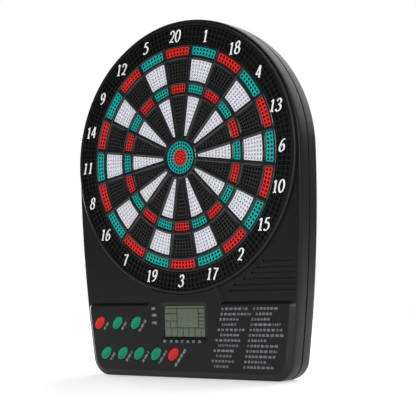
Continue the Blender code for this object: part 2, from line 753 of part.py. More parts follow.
def build_batteries():
    first_z = (BAY_Z[0] + BAY_Z[1]) / 2.0 - CELL_PITCH
    start = BAY_X[0] + 1.2
    profile = (
        (0.0, 0.0),
        (CELL_RADIUS, 0.0),
        (CELL_RADIUS, CELL_LENGTH),
        (2.7, CELL_LENGTH),
        (2.7, CELL_LENGTH + CELL_NUB),
        (0.0, CELL_LENGTH + CELL_NUB),
    )
    for i in range(3):
        bm = bmesh.new()
        add_turned(bm, profile, steps=16)
        bmesh.ops.rotate(bm, verts=bm.verts, matrix=Matrix.Rotation(-math.pi / 2.0, 3, "Z"))
        name = "battery_%d" % (i + 1)
        place(name, to_mesh(name, bm), "cell", (start, CELL_Y, first_z + CELL_PITCH * i))

    for name, plate, spring in (
        ("contact_strip_left", (BAY_X[0] + 0.3, BAY_X[0] + 0.8), ()),
        ("contact_strip_right", (BAY_X[1] - 0.8, BAY_X[1] - 0.3), (3.4, 2.2)),
    ):
        bm = bmesh.new()
        add_box(bm, plate, (-3.4, 9.2), (BAY_Z[0] + 1.0, BAY_Z[1] - 1.0))
        strip = place(name, to_mesh(name, bm), "steel")
        if not spring:
            continue
        bm = bmesh.new()
        for i in range(3):
            z = first_z + CELL_PITCH * i
            rings = []
            for x, radius in ((plate[0] + 0.2, spring[0]), (plate[0] - 0.9, spring[1])):
                rings.append([(x, CELL_Y + a, z + b) for a, b in circle((0.0, 0.0), radius, 12)])
            add_loft(bm, rings)
        boolean(strip, cutter("contact_springs", bm), "UNION")


def build():
    clear_scene()
    build_front_shell()
    build_rear_shell()
    build_battery_door()
    build_screws()
    build_target_rings()
    build_spider()
    build_segments()
    build_bulls()
    build_switch_stack()
    build_buttons()
    build_keypad()
    build_display()
    build_circuit_board()
    build_speaker()
    build_batteries()


build()
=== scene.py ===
"""Looks of an electronic dartboard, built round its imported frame.

Each sub-assembly is a class whose fields are its sizes in millimetres and whose methods work out its
surfaces with numpy. The target's centre, the case and every button are read from the frame.
"""

import logging
import math
from dataclasses import dataclass
from enum import Enum
from typing import Callable, ClassVar, Sequence

import bmesh
import bpy
import numpy as np
from mathutils import Matrix, Vector


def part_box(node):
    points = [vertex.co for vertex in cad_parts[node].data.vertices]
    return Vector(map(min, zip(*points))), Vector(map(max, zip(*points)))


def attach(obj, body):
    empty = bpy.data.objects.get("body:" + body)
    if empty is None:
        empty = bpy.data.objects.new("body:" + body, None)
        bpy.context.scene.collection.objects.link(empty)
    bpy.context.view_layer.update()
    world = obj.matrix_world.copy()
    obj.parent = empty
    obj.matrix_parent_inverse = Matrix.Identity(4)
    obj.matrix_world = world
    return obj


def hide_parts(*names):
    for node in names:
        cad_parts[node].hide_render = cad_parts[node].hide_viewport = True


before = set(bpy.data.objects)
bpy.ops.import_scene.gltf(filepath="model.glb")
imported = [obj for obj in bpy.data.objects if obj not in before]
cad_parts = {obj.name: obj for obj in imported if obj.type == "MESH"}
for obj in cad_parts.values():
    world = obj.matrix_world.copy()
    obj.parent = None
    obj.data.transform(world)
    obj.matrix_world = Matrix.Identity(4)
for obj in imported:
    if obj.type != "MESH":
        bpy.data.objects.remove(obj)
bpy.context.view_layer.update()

MM = 0.001
HOUSING = "housing"
BED_NUMBERS = (20, 1, 18, 4, 13, 6, 10, 15, 2, 17, 3, 19, 7, 16, 8, 11, 14, 9, 12, 5)
BED_ANGLE = 2.0 * math.pi / len(BED_NUMBERS)

log = logging.getLogger("dartboard")


class Slot(Enum):
    """The record's material slots, handed with each new piece but not used by the build."""

    CASE = "case_black"
    SPIDER = "spider_grey"
    MESH = "mesh_black"
    BED_BLACK = "bed_black"
    BED_WHITE = "bed_white"
    TEAL = "bull_teal"
    RED = "bull_red"
    BUTTON_RED = "button_red"
    BUTTON_GREEN = "button_green"
    WINDOW = "clear_window"
    LCD = "lcd_glass"
    CELL = "cell_jacket"
    SCREW = "zinc_screw"


# ---------------------------------------------------------------- finishes


def linear(hex_colour: str) -> tuple[float, float, float, float]:
    """Turns an sRGB hex colour such as "#20A0FF" into linear RGBA.

    Args:
        hex_colour: a hash and six hex digits.

    Returns:
        Red, green, blue and an alpha of 1, each from 0 to 1.
    """
    parts = np.array([int(hex_colour[i : i + 2], 16) for i in (1, 3, 5)]) / 255.0
    curve = np.where(parts <= 0.04045, parts / 12.92, ((parts + 0.055) / 1.055) ** 2.4)
    return (*(float(part) for part in curve), 1.0)


def add_node(
    tree: bpy.types.NodeTree, kind: str, settings: dict | None = None, **links: object
) -> bpy.types.Node:
    """Adds one shader node.

    Args:
        tree: the material's node tree.
        kind: the node's type name.
        settings: values by socket name, or by attribute name where no socket has it.
        links: source sockets by the input's name, with underscores for spaces.

    Returns:
        The new node.
    """
    node = tree.nodes.new(kind)
    for name, value in (settings or {}).items():
        if name in node.inputs:
            node.inputs[name].default_value = value
        else:
            setattr(node, name, value)
    for name, source in links.items():
        tree.links.new(source, node.inputs[name.replace("_", " ")])
    return node


def new_tree(name: str) -> tuple[bpy.types.Material, bpy.types.NodeTree]:
    """Makes a material whose node tree is empty."""
    material = bpy.data.materials.new(name)
    material.use_nodes = True
    material.node_tree.nodes.clear()
    return material, material.node_tree


@dataclass(frozen=True)
class Moulded:
    """A moulded or coated surface with a fine grain and a slow wander in colour and gloss.

    Fields: colour is sRGB; grain and relief are the texture's width and depth in mm; mottle is the share
    by which the colour wanders over patch mm; spread is the wander in roughness; glow is the share of
    light that soaks in, as in milky plastic, with soak its reach in mm; shine is the gloss seen head-on;
    behind pit_top along Y the colour falls to pit_shade of itself over pit_depth, a painted shade that stands
    in for the shadow deep in holes; lit is the light that the surface gives by itself.
    """

    name: str
    colour: str
    roughness: float
    metallic: float = 0.0
    grain: float = 0.5
    relief: float = 0.012
    mottle: float = 0.08
    patch: float = 9.0
    spread: float = 0.06
    glow: float = 0.0
    soak: float = 0.6
    shine: float = 0.5
    pit_top: float = 0.0
    pit_depth: float = 0.0
    pit_shade: float = 1.0
    lit: float = 0.0

    def make(self) -> bpy.types.Material:
        """Builds the material: noise in object space drives colour, roughness and bump."""
        material, tree = new_tree(self.name)
        place = add_node(tree, "ShaderNodeTexCoord").outputs["Object"]
        wander = add_node(
            tree, "ShaderNodeTexNoise", {"Scale": 1.0 / (self.patch * MM), "Detail": 4.0}, Vector=place
        )
        fine = add_node(
            tree, "ShaderNodeTexNoise", {"Scale": 1.0 / (self.grain * MM), "Detail": 2.0}, Vector=place
        )
        base = np.array(linear(self.colour)[:3])
        low, high = base * (1.0 - self.mottle), np.clip(base * (1.0 + self.mottle), 0.0, 1.0)
        tint = add_node(tree, "ShaderNodeMix", {"data_type": "RGBA"})
        # A mix node repeats its socket names for each data type, so its colour sockets go by number.
        tint.inputs[6].default_value = (*low, 1.0)
        tint.inputs[7].default_value = (*high, 1.0)
        tree.links.new(wander.outputs["Fac"], tint.inputs[0])
        colour = tint.outputs[2]
        # Painted shade: the colour darkens with depth along Y, standing in for the shadow inside holes and
        # cells.
        if self.pit_depth > 0.0:
            depth = add_node(tree, "ShaderNodeSeparateXYZ", None, Vector=place).outputs["Y"]
            fall = add_node(
                tree,
                "ShaderNodeMapRange",
                {
                    "From Min": self.pit_top * MM,
                    "From Max": (self.pit_top + self.pit_depth) * MM,
                    "To Min": 1.0,
                    "To Max": self.pit_shade,
                },
                Value=depth,
            )
            painted_pit_darkening = add_node(tree, "ShaderNodeVectorMath", {"operation": "SCALE"}, Vector=colour)
            tree.links.new(fall.outputs["Result"], painted_pit_darkening.inputs["Scale"])
            colour = painted_pit_darkening.outputs["Vector"]
        gloss = add_node(
            tree,
            "ShaderNodeMapRange",
            {"To Min": self.roughness - self.spread, "To Max": self.roughness + self.spread},
            Value=wander.outputs["Fac"],
        )
        depths = {"Distance": self.relief * MM, "Strength": 1.0}
        bump = add_node(tree, "ShaderNodeBump", depths, Height=fine.outputs["Fac"])
        settings = {"Metallic": self.metallic}
        if self.metallic == 0.0:
            settings["Specular IOR Level"] = self.shine
        if self.lit > 0.0:
            settings |= {"Emission Color": linear(self.colour), "Emission Strength": self.lit}
        if self.glow > 0.0:
            settings["Subsurface Weight"] = self.glow
            settings["Subsurface Radius"] = (1.0, 1.0, 1.0)
            settings["Subsurface Scale"] = self.soak * MM
        shader = add_node(
            tree,
            "ShaderNodeBsdfPrincipled",
            settings,
            Base_Color=colour,
            Roughness=gloss.outputs["Result"],
            Normal=bump.outputs["Normal"],
        )
        add_node(tree, "ShaderNodeOutputMaterial", Surface=shader.outputs["BSDF"])
        return material


@dataclass(frozen=True)
class ClearSheet:
    """A clear acrylic sheet: nearly colourless, glossy, with a few faint scuffs.

    Fields: tint is sRGB; scuff is the scuffs' size in mm, where roughness grows by dulling times; cover is
    the share of light that the sheet answers for, and the rest passes straight on.
    """

    name: str
    tint: str = "#F4F8F6"
    roughness: float = 0.015
    dulling: float = 2.5
    ior: float = 1.49
    scuff: float = 6.0
    cover: float = 0.07

    def make(self) -> bpy.types.Material:
        """Builds the material: the sheet passes light straight on, and its gloss wanders by the scuffs."""
        material, tree = new_tree(self.name)
        place = add_node(tree, "ShaderNodeTexCoord").outputs["Object"]
        scuff = add_node(
            tree, "ShaderNodeTexNoise", {"Scale": 1.0 / (self.scuff * MM), "Detail": 6.0}, Vector=place
        )
        gloss = add_node(
            tree,
            "ShaderNodeMapRange",
            {"To Min": self.roughness, "To Max": self.roughness * self.dulling},
            Value=scuff.outputs["Fac"],
        )
        settings = {"Base Color": linear(self.tint), "IOR": self.ior}
        settings |= {"Transmission Weight": 1.0, "Alpha": self.cover}
        shader = add_node(
            tree,
            "ShaderNodeBsdfPrincipled",
            settings,
            Roughness=gloss.outputs["Result"],
        )
        add_node(tree, "ShaderNodeOutputMaterial", Surface=shader.outputs["BSDF"])
        return material


class Finishes:
    """Every finish of the board, made once and handed out by name."""

    def __init__(self) -> None:
        """Makes the materials; the beds' colours darken from just under their fronts, a painted shade for
        their holes.
        """
        bed_front = box_mm("inner_bull")[0][1]

        def pits(shade: float, start: float = 0.12, reach: float = 0.7) -> dict[str, float]:
            """Fields that darken holes with depth, a painted shade that stands in for their shadow.

            Args:
                shade: the share of the colour left at the bottom.
                start: how far under the beds' front the fall starts.
                reach: over what depth it falls.

            Returns:
                The pit fields of a Moulded finish.
            """
            return {"pit_top": bed_front + start, "pit_depth": reach, "pit_shade": shade}

        bed = {"roughness": 0.42, "grain": 0.6, "relief": 0.01}
        milky = {"mottle": 0.02, "glow": 0.5, "soak": 2.0}
        made = (
            # Black ABS from a spark-eroded mould: satin, slightly uneven where the melt met.
            Moulded(
                "abs_case_black", "#131413", 0.42, grain=0.7, relief=0.02, mottle=0.1, spread=0.07, shine=0.3
            ),
            # Dark grey polypropylene: a little waxy, so softer highlights than the case.
            Moulded("polypropylene_spider_grey", "#17181A", 0.28, grain=0.6, relief=0.008, shine=0.6),
            # Black polypropylene of the number ring, matt between its ribs, its cells darkened with depth as
            # painted shade.
            Moulded(
                "polypropylene_ring_black", "#191A1A", 0.5, grain=0.6, shine=0.3, **pits(0.05, 0.05, 0.3)
            ),
            # Polypropylene of the beds: bright, milky, soft shine; light soaks a little way into the white;
            # their holes darken with depth as painted shade.
            Moulded("polypropylene_bed_black", "#1B1C1A", shine=0.35, **bed, **pits(0.02, 0.03, 0.2)),
            Moulded("polypropylene_bed_white", "#DBDBE3", shine=0.3, **bed, **milky, **pits(0.95)),
            Moulded("polypropylene_bed_teal", "#08A69E", mottle=0.04, shine=0.3, **bed, **pits(0.08)),
            Moulded("polypropylene_bed_red", "#D82722", mottle=0.04, shine=0.3, **bed, **pits(0.14)),
            # Silicone keys: rubbery, matt, deep in colour.
            Moulded("silicone_key_red", "#C8211B", 0.48, grain=0.4, relief=0.006, mottle=0.03, shine=0.35),
            Moulded("silicone_key_green", "#008468", 0.48, grain=0.4, relief=0.006, mottle=0.03, shine=0.35),
            # Pad-printed ink, thin and matt, on the number ring and the panel.
            Moulded("pad_print_white", "#F4F4F8", 0.5, grain=0.3, relief=0.004, mottle=0.02),
            Moulded("pad_print_grey", "#8F9197", 0.55, grain=0.3, relief=0.004, mottle=0.05, shine=0.3),
            # The display's reflective film and its darker printed cells.
            Moulded(
                "display_film", "#5F6757", 0.3, grain=0.25, relief=0.002, mottle=0.06, patch=14.0, shine=0.3
            ),
            Moulded("display_cells", "#161814", 0.35, grain=0.25, relief=0.002, mottle=0.03, shine=0.3),
            # Neoprene sheet behind the beds.
            Moulded("neoprene_black", "#0C0D0E", 0.75, grain=0.5, relief=0.02, shine=0.2),
            # Polyester film with carbon print.
            Moulded("polyester_film", "#B9C0C4", 0.35, grain=0.8, relief=0.003),
            # Recycled styrene plate.
            Moulded("styrene_grey", "#55585B", 0.5),
            # Epoxy board with green solder resist.
            Moulded("epoxy_board_green", "#1C5B36", 0.32, grain=0.8, relief=0.01, mottle=0.12, patch=3.0),
            # Tin-plated steel of the speaker's frame, nickel strip, zinc screws.
            Moulded("tin_plate", "#A9ABAC", 0.34, 1.0, grain=0.8, relief=0.006, mottle=0.05),
            Moulded("nickel_strip", "#B7B3A8", 0.26, 1.0, grain=0.6, relief=0.004, mottle=0.05),
            Moulded("zinc_plate", "#B9BCC0", 0.3, 1.0, grain=0.5, relief=0.006, mottle=0.06),
            # Shrink-wrapped jacket of a cell.
            Moulded("cell_jacket", "#24323F", 0.3, grain=1.2, relief=0.003, mottle=0.05),
            # Opal acrylic of the light table, lit evenly from below.
            Moulded("opal_table", "#F4F4F5", 0.75, grain=2.0, relief=0.02, mottle=0.01, patch=80.0, lit=0.5),
            ClearSheet("acrylic_window"),
        )
        self._materials = {finish.name: finish.make() for finish in made}

    def __getitem__(self, name: str) -> bpy.types.Material:
        """The material of that name."""
        return self._materials[name]


# ---------------------------------------------------------------- surfaces


def ring_of(points: np.ndarray, y: float) -> np.ndarray:
    """Stands an outline of (x, z) points at depth y.

    Args:
        points: an array of shape (n, 2).
        y: the depth.

    Returns:
        An array of shape (n, 3).
    """
    return np.column_stack((points[:, 0], np.full(len(points), y), points[:, 1]))


def turned(
    radii_depths: Sequence[tuple[float, float]], centre: tuple[float, float], steps: int
) -> np.ndarray:
    """Turns a profile about an axis along Y: x and z are the centre plus radius times sine and cosine.

    Args:
        radii_depths: the profile's (radius, y) pairs.
        centre: the axis's x and z.
        steps: how many columns go round.

    Returns:
        A grid of shape (profile, steps, 3).
    """
    profile = np.array(radii_depths)
    angle = np.linspace(0.0, 2.0 * math.pi, steps, endpoint=False)
    x = centre[0] + profile[:, :1] * np.sin(angle)
    z = centre[1] + profile[:, :1] * np.cos(angle)
    y = np.broadcast_to(profile[:, 1:], x.shape)
    return np.stack((x, y, z), axis=-1)


def rounded_rectangle(
    centre: tuple[float, float], half: tuple[float, float], radius: float, steps: int = 6
) -> np.ndarray:
    """Outline of a rectangle whose corners are quarter circles.

    Args:
        centre: its middle.
        half: half its width and height.
        radius: the corner's radius.
        steps: facets in a corner.

    Returns:
        Points (x, z), anticlockwise.
    """
    turn = np.linspace(0.0, math.pi / 2.0, steps + 1)
    arcs = []
    for quarter, (sx, sz) in enumerate(((1, 1), (-1, 1), (-1, -1), (1, -1))):
        angle = turn + quarter * math.pi / 2.0
        x = centre[0] + sx * (half[0] - radius) + radius * np.cos(angle)
        z = centre[1] + sz * (half[1] - radius) + radius * np.sin(angle)
        arcs.append(np.column_stack((x, z)))
    return np.concatenate(arcs)


def circle(centre: tuple[float, float], radius: float, steps: int) -> np.ndarray:
    """Points (x, z) evenly round a circle."""
    angle = np.linspace(0.0, 2.0 * math.pi, steps, endpoint=False)
    return np.column_stack((centre[0] + radius * np.cos(angle), centre[1] + radius * np.sin(angle)))


class Surface:
    """Collects surfaces in millimetres and makes them one mesh in metres, welded and closed."""

    def __init__(self) -> None:
        """Starts empty."""
        self._points: list[np.ndarray] = []
        self._faces: list[list[int]] = []
        self._finish: list[int] = []
        self._planes: list[tuple[float, int]] = []
        self._count = 0

    def add(self, points: np.ndarray, faces: np.ndarray, finish: int = 0) -> None:
        """Adds faces of equal size.

        Args:
            points: an array that ends in 3.
            faces: rows of indices into points.
            finish: which of the piece's materials they take.
        """
        flat = np.asarray(points, float).reshape(-1, 3)
        self._points.append(flat)
        self._faces += (np.asarray(faces) + self._count).tolist()
        self._finish += [finish] * len(faces)
        self._count += len(flat)

    def grid(
        self, points: np.ndarray, wrap: bool = True, finish: int = 0, keep: np.ndarray | None = None
    ) -> None:
        """Adds a grid of quads: one for each pair of neighbouring rows and columns.

        Args:
            points: shape (rows, columns, 3), or (grids, rows, columns, 3).
            wrap: whether the last column meets the first.
            finish: which material.
            keep: a mask over the quads, of shape (rows - 1, columns).
        """
        stack = points.reshape((-1, *points.shape[-3:]))
        grids, rows, columns = stack.shape[:3]
        row, column = np.meshgrid(
            np.arange(rows - 1), np.arange(columns if wrap else columns - 1), indexing="ij"
        )
        following = (column + 1) % columns
        quads = np.stack(
            (
                row * columns + column,
                row * columns + following,
                (row + 1) * columns + following,
                (row + 1) * columns + column,
            ),
            axis=-1,
        )
        quads = quads[keep] if keep is not None else quads.reshape(-1, 4)
        steps = np.arange(grids)[:, None, None] * rows * columns
        self.add(stack, (quads[None] + steps).reshape(-1, 4), finish)

    def loft(self, rings: Sequence[np.ndarray], finish: int = 0) -> None:
        """Joins closed rings of equal length, each to the next."""
        self.grid(np.stack(rings), True, finish)

    def cap(self, *planes: float, finish: int = 0) -> None:
        """Fills whatever stays open in the planes at these depths, holes left out."""
        self._planes += [(plane, finish) for plane in planes]

    def build(
        self,
        name: str,
        materials: Sequence[bpy.types.Material],
        body: str,
        nodes: Sequence[str] = (),
        slot: Slot | None = None,
        crease: float = 35.0,
    ) -> bpy.types.Object:
        """Makes the object: doubles merged, planes filled, normals out, shaded smooth below the crease.

        Args:
            name: the piece's name.
            materials: its materials, in the order that finish counts.
            body: the CAD body it rides on.
            nodes: the CAD nodes it stands for.
            slot: the record's material slot; not used.
            crease: the angle in degrees past which an edge is sharp.

        Returns:
            The new object.
        """
        mesh = bpy.data.meshes.new(name)
        points = np.concatenate(self._points) * MM
        mesh.from_pydata(points.tolist(), [], self._faces)
        mesh.polygons.foreach_set("material_index", np.array(self._finish, np.int32))
        mesh.polygons.foreach_set("use_smooth", np.ones(len(self._faces), bool))
        bm = bmesh.new()
        bm.from_mesh(mesh)
        bmesh.ops.remove_doubles(bm, verts=bm.verts, dist=1e-6)
        curved = len(bm.faces)
        for plane, finish in self._planes:
            depth = plane * MM
            edges = [
                edge
                for edge in bm.edges
                if edge.is_boundary and all(abs(vert.co.y - depth) < 1e-6 for vert in edge.verts)
            ]
            filled = bmesh.ops.triangle_fill(bm, use_beauty=True, use_dissolve=False, edges=edges)
            for face in filled["geom"]:
                if isinstance(face, bmesh.types.BMFace):
                    face.material_index = finish
        open_edges = sum(edge.is_boundary for edge in bm.edges)
        bmesh.ops.recalc_face_normals(bm, faces=bm.faces)
        bm.to_mesh(mesh)
        bm.free()
        mesh.set_sharp_from_angle(angle=math.radians(crease))
        mesh.polygons.foreach_set("use_smooth", np.arange(len(mesh.polygons)) < curved)
        for material in materials:
            mesh.materials.append(material)
        piece = bpy.data.objects.new(name, mesh)
        bpy.context.scene.collection.objects.link(piece)
        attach(piece, body)
        if nodes:
            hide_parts(*nodes)
        log.info("%s: %d faces, %d open edges", name, len(mesh.polygons), open_edges)
        return piece


def dress(node: str, material: bpy.types.Material) -> None:
    """Gives a CAD node that stays its finish."""
    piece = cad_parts[node]
    if not piece.material_slots:
        piece.data.materials.append(material)
    for held in piece.material_slots:
        held.material = material


def box_mm(node: str) -> tuple[np.ndarray, np.ndarray]:
    """A CAD node's lowest and highest corners in millimetres."""
    low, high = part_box(node)
    return np.array(low) / MM, np.array(high) / MM


def middle_mm(node: str) -> tuple[float, float]:
    """The (x, z) middle of a CAD node's box."""
    low, high = box_mm(node)
    return (low[0] + high[0]) / 2.0, (low[2] + high[2]) / 2.0


def half_mm(node: str) -> tuple[float, float]:
    """Half the width and half the height of a CAD node's box."""
    low, high = box_mm(node)
    return (high[0] - low[0]) / 2.0, (high[2] - low[2]) / 2.0


# ---------------------------------------------------------------- case


@dataclass
class Case:
    """The two shells: a round head, sides that draw in below it, and a raised panel at the foot.

    Fields: side_bow is the sides' curvature, in 1/mm; wall and panel_wall are thicknesses; panel_front,
    seat_depth, lip_depths and bay_floor are depths along Y; seat, bore, collar and lip radii are the steps
    that hold the target; bezel is the width of the slope round the display; vent_lines are each speaker
    groove's height and start; groove_bulb and groove_half are half its widths at the bulb and the run;
    keyholes is their distance from the middle and their height; the post fields are the screw posts'.
    """

    finishes: Finishes
    side_bow: float = 0.000523
    corner_radius: float = 15.0
    wall: float = 2.2
    joint: float = 0.3
    panel_front: float = -11.9
    panel_rise: float = 2.6
    panel_wall: float = 2.2
    seat_depth: float = -9.1
    seat_radius: float = 99.1
    bore_radius: float = 95.1
    collar_radius: float = 97.1
    lip_radius: float = 90.5
    lip_depths: tuple[float, float] = (-6.4, -3.5)
    bezel: float = 3.2
    vent_lines: tuple[tuple[float, float], ...] = (
        (81.7, 68.0), (77.6, 63.6), (73.9, 58.3), (70.0, 51.9), (66.1, 44.0), (62.1, 39.0)
    )
    vent_end: float = 93.5
    groove_bulb: float = 0.8
    groove_half: float = 0.46
    groove_depth: float = 0.8
    keyholes: tuple[float, float] = (40.0, 202.0)
    door_gap: float = 0.3
    bay_floor: float = -4.7
    bay_skin: float = 1.2
    post_bore: float = 2.9
    post_pilot: float = 1.5
    post_radii: tuple[float, float] = (3.1, 4.2)
    post_depths: tuple[float, float, float] = (-1.3, 6.6, 8.2)

    def __post_init__(self) -> None:
        """Reads the case's own size and the target's centre from the frame."""
        high = box_mm("front_shell")[1]
        self.head_radius = half_mm("front_shell")[0]
        self.head_z = high[2] - self.head_radius
        self.face = self.panel_front + self.panel_rise
        self.front_back = high[1]
        self.rear = box_mm("rear_shell")[1][1]
        self.rear_front = self.front_back + self.joint

    def side(self, z: np.ndarray | float) -> np.ndarray | float:
        """Half the case's width at height z: the head's radius less a square of the drop below its centre."""
        return self.head_radius - self.side_bow * (self.head_z - z) ** 2

    def lean(self) -> float:
        """Angle at which the side meets the corner's arc, found by a few steps of substitution."""
        lean = 0.0
        for _ in range(8):
            drop = self.head_z - self.corner_radius * (1.0 - math.sin(lean))
            lean = math.atan(2.0 * self.side_bow * drop)
        return lean

    def right_half(self, inset: float) -> np.ndarray:
        """The right half of the outline from base to crown, moved inwards along its own normals.

        Args:
            inset: how far in, in mm.

        Returns:
            Points (x, z): the corner's arc, the bowed side, the head's arc.
        """
        lean, radius = self.lean(), self.corner_radius
        tangent = radius * (1.0 - math.sin(lean))
        corner = self.side(tangent) - radius * math.cos(lean)
        angle = np.linspace(-math.pi / 2.0, -lean, 20, endpoint=False)
        arc = np.column_stack(
            (corner + (radius - inset) * np.cos(angle), radius + (radius - inset) * np.sin(angle))
        )
        z = np.linspace(tangent, self.head_z, 40, endpoint=False)
        slope = np.arctan(2.0 * self.side_bow * (self.head_z - z))
        side = np.column_stack((self.side(z) - inset * np.cos(slope), z + inset * np.sin(slope)))
        angle = np.linspace(0.0, math.pi / 2.0, 64)
        reach = self.head_radius - inset
        head = np.column_stack((reach * np.cos(angle), self.head_z + reach * np.sin(angle)))
        return np.concatenate((arc, side, head))

    def outline(self, inset: float) -> np.ndarray:
        """The whole outline, anticlockwise, moved inwards."""
        right = self.right_half(inset)
        left = right[-2::-1] * (-1.0, 1.0)
        return np.concatenate((right, left))

    def panel_path(
        self, inset: float, top: float, hump: float, shoulder: float, chamfer: float
    ) -> np.ndarray:
        """The panel's edge from the seat's circle on the left, round the foot, to the circle on the right.

        It follows the case's outline, turns a chamfered corner at the top, runs in to the shoulder, and
        climbs the hump's side until it meets the circle, where the line's quadratic has its root.

        Args:
            inset: how far inside the case's outline.
            top: height of the straight upper edge.
            hump: half the hump's width at its top.
            shoulder: half its width at the upper edge.
            chamfer: the corner's cut.

        Returns:
            Points (x, z).
        """
        right = self.right_half(inset)
        last_z = top - chamfer
        share = np.linspace(0.0, 1.0, 12)
        low = right[:20]
        start = right[20]
        z = start[1] + (last_z - start[1]) * share
        slope = np.arctan(2.0 * self.side_bow * (self.head_z - z))
        side = np.column_stack((self.side(z) - inset * np.cos(slope), z))
        edge = side[-1, 0]
        turn = np.linspace(0.0, math.pi / 2.0, 7)[1:]
        corner = np.column_stack((edge - chamfer * (1.0 - np.cos(turn)), last_z + chamfer * np.sin(turn)))
        shoulder_point = np.array((shoulder, top))
        climb = np.array((hump, 66.0)) - shoulder_point
        offset = shoulder_point - (0.0, self.head_z)
        a, b = climb @ climb, 2.0 * offset @ climb
        c = offset @ offset - self.seat_radius**2
        meet = shoulder_point + climb * (-b - math.sqrt(b * b - 4.0 * a * c)) / (2.0 * a)
        half = np.concatenate((low, side, corner, [shoulder_point, meet]))
        return np.concatenate((half[::-1] * (-1.0, 1.0), half))

    def panel_levels(self) -> list[tuple[np.ndarray, float]]:
        """The panel's bevel as rings from foot to top, its upper edge rounded."""
        foot = self.panel_path(1.4, 54.5, 29.3, 34.6, 4.2)
        top = self.panel_path(5.2, 52.4, 28.0, 33.0, 1.2)
        rise = self.panel_front - self.face
        levels = [(0.0, self.face), (0.04, self.face + 0.03 * rise)]
        levels += [(0.88, self.face + 0.9 * rise), (0.94, self.face + 0.955 * rise)]
        levels += [(1.0, self.face + 0.988 * rise), (1.06, self.panel_front)]
        blended = []
        for share, depth in levels:
            path = foot + (top - foot) * share
            for end in (0, -1):
                away = path[end] - (0.0, self.head_z)
                path[end] = away * self.seat_radius / np.linalg.norm(away) + (0.0, self.head_z)
            blended.append((path, depth))
        return blended

    def seat_edge(self, levels: list[tuple[np.ndarray, float]]) -> np.ndarray:
        """The seat's rim: level on the face, down the bevel's two ends, and along the panel's top.

        Args:
            levels: the bevel's rings and their depths, from foot to top.

        Returns:
            Points (x, y, z) once round the rim.
        """

        def arc(start: np.ndarray, end: np.ndarray, depth: float, turns: float, steps: int) -> np.ndarray:
            """Points of the seat's circle between two others, which are left out.

            Args:
                start: (x, z) before the first point.
                end: (x, z) after the last point.
                depth: y of them all.
                turns: an angle added to the end's.
                steps: how many points, with both ends.

            Returns:
                An array of shape (steps - 2, 3).
            """
            first = math.atan2(start[1] - self.head_z, start[0])
            last = math.atan2(end[1] - self.head_z, end[0]) + turns
            angle = np.linspace(first, last, steps)[1:-1]
            x, z = self.seat_radius * np.cos(angle), self.head_z + self.seat_radius * np.sin(angle)
            return np.column_stack((x, np.full(len(x), depth), z))

        foot, top = levels[0][0], levels[-1][0]
        right = np.array([(path[-1][0], depth, path[-1][1]) for path, depth in levels])
        left = np.array([(path[0][0], depth, path[0][1]) for path, depth in levels])
        over = arc(foot[-1], foot[0], self.face, 2.0 * math.pi, 200)
        under = arc(top[0], top[-1], self.panel_front, 0.0, 30)
        return np.concatenate((over, left, under, right[::-1]))

    def front(self) -> None:
        """Front shell: wall, face, panel, seat and collar for the target, openings, and speaker grooves."""
        shell = Surface()
        back, inside = self.front_back, self.face + self.wall
        inner = self.panel_front + self.panel_wall
        slot_floor = self.face + self.groove_depth
        soft = (
            (1.1, 0.0), (0.86, 0.12), (0.66, 0.4), (0.46, 1.0), (0.27, 2.2), (0.11, 4.2), (0.02, 6.6),
            (0.0, 8.5),
        )
        rings = [ring_of(self.outline(inset), self.face + depth) for inset, depth in soft]
        rings += [ring_of(self.outline(0.0), back - 0.25), ring_of(self.outline(0.25), back)]
        rings += [ring_of(self.outline(self.wall), back), ring_of(self.outline(self.wall), inside)]
        shell.loft(rings)

        levels = self.panel_levels()
        shell.grid(np.stack([ring_of(path, depth) for path, depth in levels]), wrap=False)
        rim = self.seat_edge(levels)
        floor = rim.copy()
        floor[:, 1] = self.seat_depth
        shell.grid(np.stack((rim, floor)))
        lip_front, lip_back = self.lip_depths
        collar = (
            (self.bore_radius, self.seat_depth), (self.bore_radius, lip_front), (self.lip_radius, lip_front),
            (self.lip_radius, lip_back), (self.collar_radius, lip_back), (self.collar_radius, inside),
        )
        shell.grid(turned(collar, (0.0, self.head_z), 180))
        hollow = self.panel_path(6.0, 50.2, 24.0, 27.0, 0.6)
        hollow = np.concatenate(([(-24.0, 58.5)], hollow[1:-1], [(24.0, 58.5)]))
        shell.loft([ring_of(hollow, inside), ring_of(hollow, inner)])
        self.openings(shell, inner)
        self.grooves(shell, slot_floor, inside)
        shell.cap(self.face, self.panel_front, self.seat_depth, inside, inner, slot_floor)
        shell.build(
            "front_shell_skin", [self.finishes["abs_case_black"]], HOUSING, ["front_shell"], Slot.CASE
        )

    def openings(self, shell: Surface, inner: float) -> None:
        """The key holes with their rolled edges, and the display's sloping bezel.

        Args:
            shell: the front shell's surface.
            inner: y of the panel's inner face.
        """
        for name in Keys.names():
            middle = middle_mm(name)
            oval = [
                ring_of(Keys.outline(middle, grow), self.panel_front + depth)
                for grow, depth in ((0.65, 0.0), (0.42, 0.07), (0.35, 0.3))
            ]
            oval.append(ring_of(Keys.outline(middle, 0.35), inner))
            shell.loft(oval)
        middle, half = middle_mm("lcd_window"), half_mm("lcd_window")
        bezel = []
        for share, depth in (
            (1.08, 0.0), (1.0, 0.02), (0.94, 0.07), (0.06, 0.74), (0.0, 0.84), (0.0, self.panel_wall)
        ):
            grow = self.bezel * share
            grown = (half[0] + self.joint + grow, half[1] + self.joint + 0.7 * grow)
            bezel.append(
                ring_of(rounded_rectangle(middle, grown, 1.2 + 0.3 * grow), self.panel_front + depth)
            )
        shell.loft(bezel)

